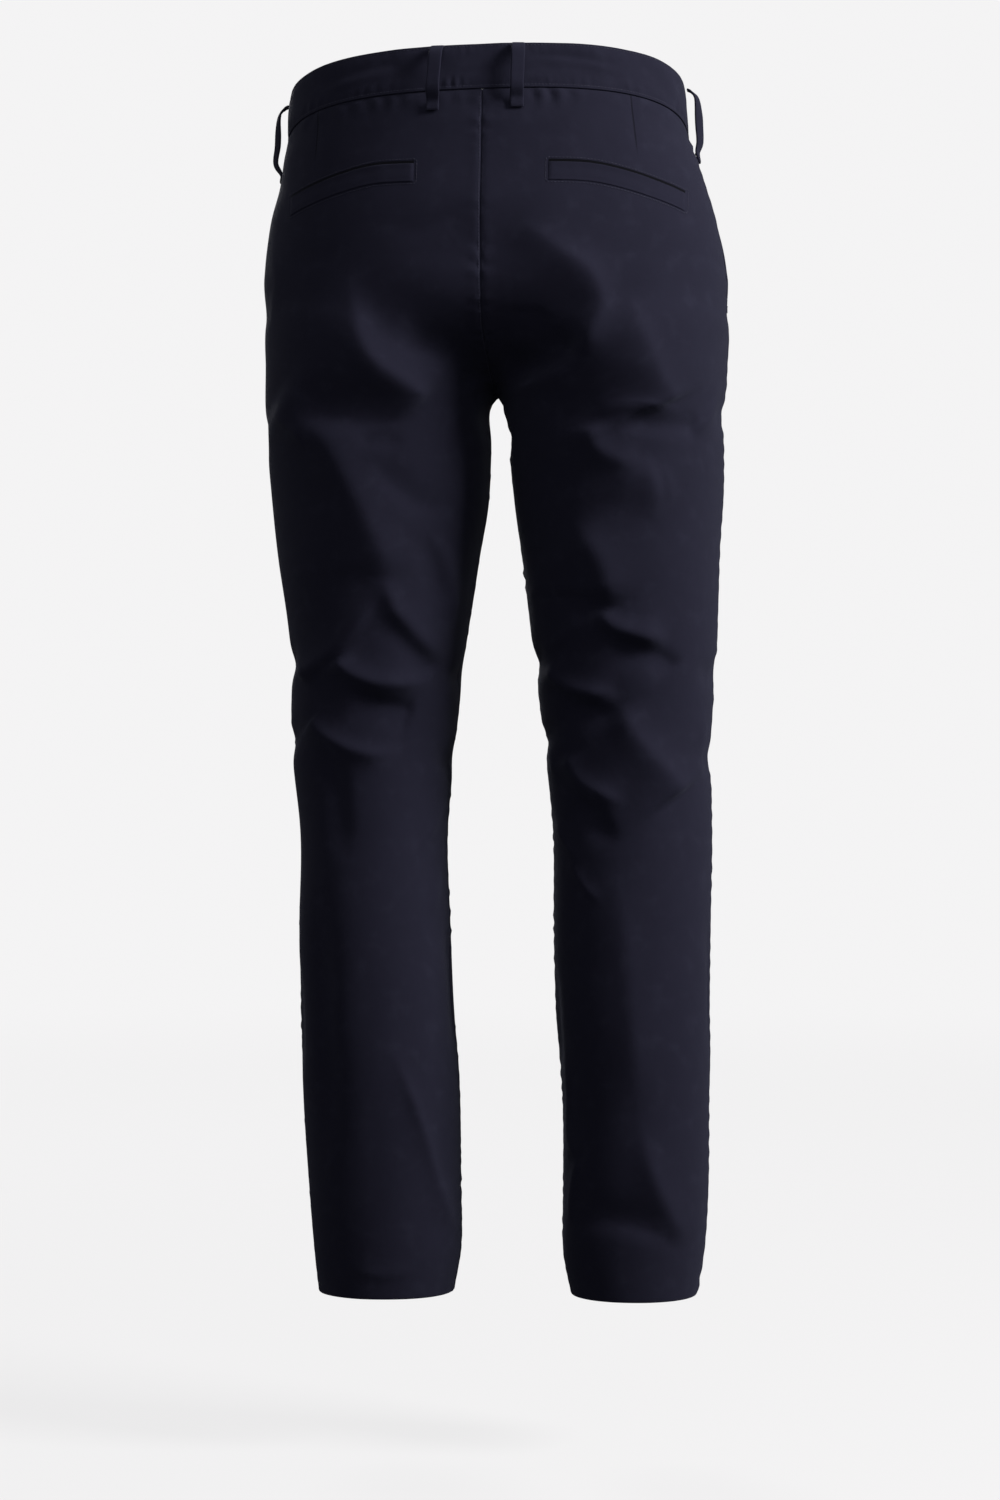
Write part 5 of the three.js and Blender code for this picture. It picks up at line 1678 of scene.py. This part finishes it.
# %% Twill
def use_group(tree, group, vector):
    node = tree.nodes.new("ShaderNodeGroup")
    node.node_tree = group
    tree.links.new(vector, node.inputs["Vector"])
    return node.outputs


def attribute_value(tree, name):
    node = tree.nodes.new("ShaderNodeAttribute")
    node.attribute_name = name
    return node.outputs["Fac"]


def seam_wear(tree, uv):
    """Speckled wear beside the seams, from 0 to 1."""
    near = ramp(tree, attribute_value(tree, "seam_distance"), 0.0006, 0.0045, 1.0, 0.0)
    return times(tree, near, ramp(tree, noise_node(tree, uv, 420, 2.0), 0.42, 0.62))


def dart_groove(tree):
    """The line of a dart, from 0 to 1, fading toward its tip: the groove's relief, and painted shade along
    it.
    """
    distance = math_node(tree, "ABSOLUTE", attribute_value(tree, "dart_distance"))
    line = ramp(tree, distance, 0.0001, 0.0011, 1.0, 0.0)
    return times(tree, line, attribute_value(tree, "dart_depth"))


def twill_material(name, dark, rubbed, with_seams=False, with_painted_slit_shade=False):
    material = bpy.data.materials.new(name)
    material.use_nodes = True
    tree = material.node_tree
    shader = tree.nodes["Principled BSDF"]
    for socket, value in TWILL_SURFACE.items():
        shader.inputs[socket].default_value = value
    uv_map = tree.nodes.new("ShaderNodeUVMap")
    uv_map.uv_map = "cloth"
    uv = uv_map.outputs["UV"]
    rib = use_group(tree, twill_rib, uv)
    nap = use_group(tree, washed_nap, uv)
    height = plus(tree, times(tree, rib["Height"], 0.55), times(tree, nap["Height"], 0.45))
    wear = ramp(tree, noise_node(tree, uv, 60, 3.0), 0.50, 0.78, 0.0, 0.30)
    shades = [rib["Shade"], nap["Shade"]]
    if with_seams:
        wear = plus(tree, wear, times(tree, seam_wear(tree, uv), 0.35))
        groove = dart_groove(tree)
        height = minus(tree, height, times(tree, groove, 5.0))
        # Painted shade: the dart's line is also darkened in the colour, as shade in its groove.
        shades.append(minus(tree, 1.0, times(tree, groove, 0.55)))
    if with_painted_slit_shade:
        # Painted shade: the slit's strip is painted nearly black.
        shades.append(minus(tree, 1.0, times(tree, attribute_value(tree, "slit_painted_shade"), 0.9)))
    rubbing, tinted = mix_colours(tree, "MIX", dark, rubbed)
    tree.links.new(wear, rubbing)
    tree.links.new(shaded(tree, tinted, *shades), shader.inputs["Base Color"])
    rough = plus(tree, times(tree, nap["Shade"], -0.10), 0.98)
    tree.links.new(rough, shader.inputs["Roughness"])
    add_bump(tree, height, 0.5, 0.00012)
    return material


twill_pieces = {
    twill_material("panel_twill", NAVY, NAVY_RUBBED, with_seams=True): [*panels.values()],
    twill_material("band_twill", NAVY, NAVY_RUBBED): [waistband, *loops.values()],
    twill_material("welt_twill_painted_slit_shade", NAVY, NAVY_RUBBED, with_painted_slit_shade=True): [*welts.values()],
    twill_material("inner_twill_painted_shade", NAVY_PAINTED_SHADE_INSIDE, NAVY): [*facings.values(), shield],
}
for twill, pieces in twill_pieces.items():
    for piece in pieces:
        piece.data.materials.append(twill)
print("twill on", sum(len(pieces) for pieces in twill_pieces.values()), "pieces")


# %% Thread, tape, metal and button
def plain_material(name, colour, roughness, scale, shade_range, bump_distance, metallic=0.0, gloss=0.5):
    """A finish with fine noise in its colour and relief, on the object's own coordinates."""
    material = bpy.data.materials.new(name)
    material.use_nodes = True
    tree = material.node_tree
    shader = tree.nodes["Principled BSDF"]
    shader.inputs["Metallic"].default_value = metallic
    shader.inputs["Specular IOR Level"].default_value = gloss
    place = tree.nodes.new("ShaderNodeTexCoord").outputs["Object"]
    grain = noise_node(tree, place, scale, 3.0)
    shade = ramp(tree, grain, 0.3, 0.7, 1 - shade_range, 1 + shade_range)
    rough = ramp(tree, grain, 0.3, 0.7, roughness - 0.06, roughness + 0.06)
    tree.links.new(shaded(tree, colour, shade), shader.inputs["Base Color"])
    tree.links.new(rough, shader.inputs["Roughness"])
    add_bump(tree, grain, 0.4, bump_distance)
    return material


thread = plain_material("navy_thread", (0.0145, 0.0148, 0.0265), 0.7, 2600, 0.25, 0.0001, gloss=0.15)
tape_weave = plain_material("zip_tape_weave", (0.008, 0.008, 0.016), 0.85, 1800, 0.20, 0.0001, gloss=0.1)
moulded = plain_material("zip_teeth_resin", (0.012, 0.012, 0.018), 0.45, 900, 0.10, 0.00003)
brass = plain_material("antique_brass", (0.36, 0.29, 0.17), 0.38, 500, 0.22, 0.00003, metallic=1.0)
resin = plain_material("button_resin", (0.012, 0.013, 0.022), 0.36, 240, 0.30, 0.00004)
print("plain finishes:", [m.name for m in (thread, tape_weave, moulded, brass, resin)])

# %% [markdown]
# ## Zip parts and button
# The slider and its pull are small bevelled plates, cut to their outlines and laid along the chain. The
# button is turned on a lathe profile with a raised rim and drilled with four holes, which a boolean makes.

# %% Zip tape and teeth
ZIP_TAPE = {"left": 20, "right": -12, "top": -1.2, "bottom": -165, "depth": 5.75, "thickness": 0.7}
CHAIN = {"across": 5.0, "depth": 5.3, "aside": 1.0, "stagger": 0.65}
TOOTH = {"Pitch": 0.0013, "Length": 0.00075, "Width": 0.0032, "Height": 0.0016, "Unevenness": 0.0}

tape = fly_sheet("zip_tape", "zip", ZIP_TAPE, 90, 18)
tape.data.materials.append(tape_weave)


def fly_line(x, top, bottom, depth, steps=160):
    """A line down the fly at one place across and one depth, with the direction outward along it."""
    return cloth_point(-1, np.full(steps, float(x)), np.linspace(top, bottom, steps), -depth)


fly_top = float(waist_level(0, -hip["front"](-40)))
tooth_lines = []
for aside, shift in ((CHAIN["aside"], 0.0), (-CHAIN["aside"], CHAIN["stagger"])):
    top, bottom = fly_top - 3 - shift, ZIP_TAPE["bottom"] + 1
    tooth_lines.append(fly_line(CHAIN["across"] + aside, top, bottom, CHAIN["depth"]))
teeth = grown("zip_teeth", tooth_tree, tooth_lines, "zip_tape", Material=moulded, **TOOTH)
print("teeth faces:", len(teeth.data.polygons))

# %% Slider and pull
# Outlines of (across, down) places. The pull's second half is its first half turned round.
SLIDER_OUTLINE = [(-4.2, 0), (4.2, 0), (4.2, 4.4), (2.8, 11), (-2.8, 11), (-4.2, 4.4)]
PULL_LENGTH = 26
PULL_HALF = [(-1.5, 0), (1.5, 0), (2.7, 1.4), (2.7, 24.6)]
PULL_OUTLINE = PULL_HALF + [(-across, PULL_LENGTH - down) for across, down in PULL_HALF]


def fly_plate(name, node, outline, top, depth, thickness, bevel):
    """A bevelled plate cut to an outline, laid along the chain at one depth under the cloth."""
    start, normal = cloth_point(-1, np.array([CHAIN["across"]]), np.array([top]))
    lower = point_on(-1, CHAIN["across"], top - 11.0)
    out = normal[0]
    down = lower - start[0]
    down = down - out * (down @ out)
    down /= np.linalg.norm(down)
    across = np.cross(down, out)
    corners = [start[0] + across * a + down * d for a, d in outline]
    count = len(corners)
    front = [c - out * depth for c in corners]
    back = [c - out * (depth + thickness) for c in corners]
    faces = [list(range(count)), list(range(2 * count - 1, count - 1, -1))]
    faces += [[(i + 1) % count, i, count + i, count + (i + 1) % count] for i in range(count)]
    mesh = bpy.data.meshes.new(name)
    mesh.from_pydata((np.array(front + back) / 1000).tolist(), [], faces)
    mesh.materials.append(brass)
    piece = in_scene(name, mesh)
    rounding = piece.modifiers.new("bevel", "BEVEL")
    rounding.width = bevel / 1000
    rounding.segments = 2
    return stand_for(piece, node)


slider = fly_plate("zip_slider_metal", "zip_slider", SLIDER_OUTLINE, fly_top - 6, 4.3, 3.4, 0.6)
pull = fly_plate("zip_pull_metal", "zip_pull", PULL_OUTLINE, fly_top - 10, 2.95, 1.0, 0.35)
print("slider and pull:", len(slider.data.vertices), "and", len(pull.data.vertices), "corners")

# %% Button
BUTTON = {"radius": 8.5, "thickness": 2.9, "across": 6.0, "lift": 0.45, "hole": 0.95, "hole_place": 1.7}
# Places on the button's edge and front, as far in from its rim and down from its top.
BUTTON_BACK = [(1.0, 2.9), (0.3, 2.6), (0, 1.9)]
BUTTON_FRONT = [(0, 0.8), (0.35, 0.2), (0.9, 0), (1.6, 0.25), (2.3, 0.95), (3.0, 1.1)]


def button_profile():
    """Distances from the middle and heights, from the back round the edge to the dished front."""
    radius, top = BUTTON["radius"], BUTTON["thickness"]
    edge = [(radius - inward, top - down) for inward, down in BUTTON_BACK + BUTTON_FRONT]
    return [(0, 0), *edge, (0, edge[-1][1])]


def turned_piece(name, profile, steps=64):
    vertices, faces = [], []
    rings = [p for p in profile if p[0] > 0]
    for radius, height in rings:
        for i in range(steps):
            turn = 2 * math.pi * i / steps
            vertices.append((radius * math.cos(turn), radius * math.sin(turn), height))
    for ring in range(len(rings) - 1):
        for i in range(steps):
            j = (i + 1) % steps
            a, b = ring * steps, (ring + 1) * steps
            faces.append((a + i, a + j, b + j, b + i))
    vertices += [(0, 0, profile[0][1]), (0, 0, profile[-1][1])]
    low, high = len(vertices) - 2, len(vertices) - 1
    last = (len(rings) - 1) * steps
    for i in range(steps):
        j = (i + 1) % steps
        faces += [(low, j, i), (high, last + i, last + j)]
    mesh = bpy.data.meshes.new(name)
    mesh.from_pydata(vertices, [], faces)
    return in_scene(name, mesh)


def cut_holes(piece, places, radius, depth):
    drills = []
    for x, y in places:
        drill = turned_piece("drill", [(0, -depth), (radius, -depth), (radius, depth), (0, depth)], 20)
        drill.data.transform(Matrix.Translation((x, y, 0)))
        drills.append(drill)
    for drill in drills:
        cut = piece.modifiers.new("hole", "BOOLEAN")
        cut.operation = "DIFFERENCE"
        cut.object = drill
    evaluated = piece.evaluated_get(bpy.context.evaluated_depsgraph_get())
    mesh = bpy.data.meshes.new_from_object(evaluated)
    piece.modifiers.clear()
    piece.data = mesh
    for drill in drills:
        bpy.data.objects.remove(drill)


hole_places = (BUTTON["hole_place"], -BUTTON["hole_place"])
button = turned_piece("waist_button_resin", button_profile())
cut_holes(button, [(x, y) for y in hole_places for x in hole_places], BUTTON["hole"], 6.0)
button_angle = np.array([math.atan2(BUTTON["across"], front_reach)])
button_seat, button_out = band_surface(button_angle, np.array([BAND_HEIGHT / 2]), BUTTON["lift"])
button_out = Vector(button_out[0])
button_turn = button_out.to_track_quat("Z", "Y").to_matrix()
for vertex in button.data.vertices:
    vertex.co = (Vector(button_seat[0]) + button_turn @ vertex.co) / 1000
button.data.polygons.foreach_set("use_smooth", [True] * len(button.data.polygons))
button.data.set_sharp_from_angle(angle=math.radians(50))
button.data.materials.append(resin)
stand_for(button, "waist_button")
print("button:", len(button.data.polygons), "faces")

# %% [markdown]
# ## Stitching
# The thread is navy, so the rows read by their relief: a line of small raised stitches with the cloth drawn
# in beside it. Each row follows a line on the finished surface, and the tree from the zip lays the stitches.

# %% Sizes of the stitches
# In metres: plain rows, dense tacks, the worked edge of the buttonhole and the cords in the button.
STITCH = {"Pitch": 0.0029, "Length": 0.0024, "Width": 0.00055, "Height": 0.00042}
TACK = {"Pitch": 0.0007, "Length": 0.0007, "Width": 0.0024, "Height": 0.0008, "Unevenness": 0.2}
WORKED_EDGE = {"Pitch": 0.0006, "Length": 0.0006, "Width": 0.0019, "Height": 0.0007, "Unevenness": 0.1}
CORD = {"Pitch": 0.0004, "Length": 0.0011, "Width": 0.0008, "Height": 0.0006, "Unevenness": 0.1}


def sewn(name, lines, sizes, slot="twill"):
    """One piece of thread stitches along some lines."""
    return grown(name, stitch_tree, lines, slot, Material=thread, **sizes)


print("a stitch every", round(STITCH["Pitch"] * 1000, 2), "mm")


# %% Lines on the finished panels
SEAT_ROW = {"offset": -1.5, "bottom": -226}
MOUTH_ROW = {"offset": 6, "bottom": -150}
MOUTH_TACK = {"offset": 3, "top": -152, "bottom": -160}
ROWS_TOP = -3


def panel_line(face, side, edge, offset, lowest, highest, lift=0.16):
    """A line down a panel between two levels, at a distance from its "mouth" or "end" edge."""
    grid = panel_grids[face, side]
    kept = (grid["level"] >= lowest) & (grid["level"] <= highest) & (grid["inside"] == 0)
    points, normals = [], []
    for i in np.flatnonzero(kept):
        at, places = grid[edge][i] + offset, grid["distance"][i]
        point = np.array([np.interp(at, places, grid["outside"][i, :, k]) for k in range(3)])
        normal = np.array([np.interp(at, places, grid["normal"][i, :, k]) for k in range(3)])
        points.append(point + normal * lift)
        normals.append(normal)
    return np.array(points), np.array(normals)


def cloth_line(facing, places, steps, lift):
    """A line through places across and levels, laid on the back or front."""
    path, _ = smooth_path(places, steps)
    return cloth_point(facing, path[:, 0], path[:, 1], lift)


seat_row = panel_line("back", "left", "end", SEAT_ROW["offset"], SEAT_ROW["bottom"], ROWS_TOP)
print("seat seam row:", len(seat_row[0]), "points")

# %% Rows on the panels
# The row round a welt, from the welt's edges: above and below it, past its ends, and at its corners.
WELT_ROW = {"above": 3.8, "below": 1.8, "past": 2.4, "corner_above": 3.2, "corner_below": 1.2}
FLY_ROW = [(37, -44), (37.5, -100), (36.5, -142), (31, -166), (18, -183), (3, -190)]
FLY_TACKS = [[(3, -188), (3.2, -194)], [(30, -160), (27, -165)]]


def welt_outline(side):
    """The row of stitches round a back pocket's welt, above, below and past both ends."""
    path, _ = smooth_path(WELT_LINE, 60)
    past, high = WELT_ROW["past"], WELT_ROW["corner_above"]
    low = -WELT["height"] - WELT_ROW["corner_below"]
    above = path + [0, WELT_ROW["above"]]
    below = path[::-1] - [0, WELT["height"] + WELT_ROW["below"]]
    far_end = path[-1] + [[past, high], [past, low]]
    near_end = path[0] + [[-past, low], [-past, high]]
    outline = np.concatenate([above, far_end, below, near_end, above[:1]])
    share = np.linspace(0, 1, len(outline))
    x, z = (np.interp(np.linspace(0, 1, 340), share, outline[:, k]) for k in (0, 1))
    return cloth_point(1, SIGNS[side] * x, z, 0.18)


def mouth_line(side, row, top, lift=0.16):
    return panel_line("front", side, "mouth", row["offset"], row["bottom"], top, lift)


panel_rows_sewn = [seat_row]
panel_rows_sewn += [welt_outline(side) for side in SIGNS]
panel_rows_sewn += [mouth_line(side, MOUTH_ROW, ROWS_TOP) for side in SIGNS]
panel_rows_sewn.append(cloth_line(-1, FLY_ROW, 160, 0.3))
panel_stitches = sewn("panel_stitches", panel_rows_sewn, STITCH)
fly_tacks = [cloth_line(-1, places, 12, 0.35) for places in FLY_TACKS]
fly_tacks += [mouth_line(side, MOUTH_TACK, MOUTH_TACK["top"], 0.3) for side in SIGNS]
panel_tacks = sewn("panel_tacks", fly_tacks, TACK)
print("panel stitches:", len(panel_stitches.data.polygons), "faces, tacks:", len(panel_tacks.data.polygons))

# %% Rows on the waistband
END_INSET = 1.8 / front_reach
BUTTONHOLE = {"left": -5.5, "right": 17.5, "half_height": 1.25}


def band_line(start, end, low, high, steps, lift=0.12):
    return band_surface(np.linspace(start, end, steps), np.linspace(low, high, steps), lift)


def buttonhole_line(steps=90):
    """The worked edge of the buttonhole: along, round the end, and back."""
    turn = np.linspace(0, 2 * math.pi, steps)
    middle = (BUTTONHOLE["left"] + BUTTONHOLE["right"]) / 2
    reach = (BUTTONHOLE["right"] - BUTTONHOLE["left"]) / 2
    x = middle + reach * np.clip(1.12 * np.cos(turn), -1, 1)
    up = BAND_HEIGHT / 2 + BUTTONHOLE["half_height"] * np.clip(1.6 * np.sin(turn), -1, 1)
    return band_surface(np.arctan2(x, front_reach), up, 0.12)


left_end, right_end = band_start + END_INSET, band_end - END_INSET
band_rows_sewn = [band_line(left_end, right_end, up, up, 900) for up in BAND_ROWS.values()]
band_rows_sewn.append(band_line(left_end, left_end, *sorted(BAND_ROWS.values()), 40))
band_stitches = sewn("band_stitches", band_rows_sewn, STITCH)
buttonhole = sewn("buttonhole_stitches", [buttonhole_line()], WORKED_EDGE)
print("band stitches:", len(band_stitches.data.polygons), "buttonhole:", len(buttonhole.data.polygons))

# %% Rows on the belt loops and thread in the button
LOOP_TACKS = (1.8, 6.2)


def loop_row(name, across):
    centre, side, out, distance = loop_lines[name]
    lift = LOOP["thickness"] / 2 - 0.05
    keep = (distance > 1.6) & (distance < distance[-1] - 1.2)
    return (centre + side * across + out * lift)[keep], out[keep]


def loop_tack(name, from_end):
    """A dense row of stitches across a loop, at a distance from its lower end."""
    centre, side, out, distance = loop_lines[name]
    i = int(np.argmin(np.abs(distance - (distance[-1] - from_end))))
    across = np.linspace(-LOOP["width"] / 2 + 1.0, LOOP["width"] / 2 - 1.0, 12)
    points = centre[i] + np.outer(across, side[i]) + out[i] * (LOOP["thickness"] * 0.62)
    return points, np.repeat(out[i][None], 12, axis=0)


def button_thread():
    """Two cords of thread over the button, each from hole to hole."""
    lines = []
    hole = BUTTON["hole_place"]
    for y in hole_places:
        x = np.linspace(-hole, hole, 16)
        rise = 1.75 + 0.55 * np.cos(x / hole * math.pi / 2)
        local = [Vector((a, y, b)) for a, b in zip(x, rise)]
        points = np.array([list(Vector(button_seat[0]) + button_turn @ p) for p in local])
        lines.append((points, np.repeat(np.array(button_out)[None], 16, axis=0)))
    return lines


edge = LOOP["width"] / 2 - LOOP["edge_row"]
loop_rows_sewn = [loop_row(name, across) for name in loops for across in (edge, -edge)]
loop_stitches = sewn("loop_stitches", loop_rows_sewn, STITCH)
loop_tacks = sewn("loop_tacks", [loop_tack(name, place) for name in loops for place in LOOP_TACKS], TACK)
button_cords = sewn("button_thread", button_thread(), CORD, "button")
print("loop stitches:", len(loop_stitches.data.polygons), "tacks:", len(loop_tacks.data.polygons))
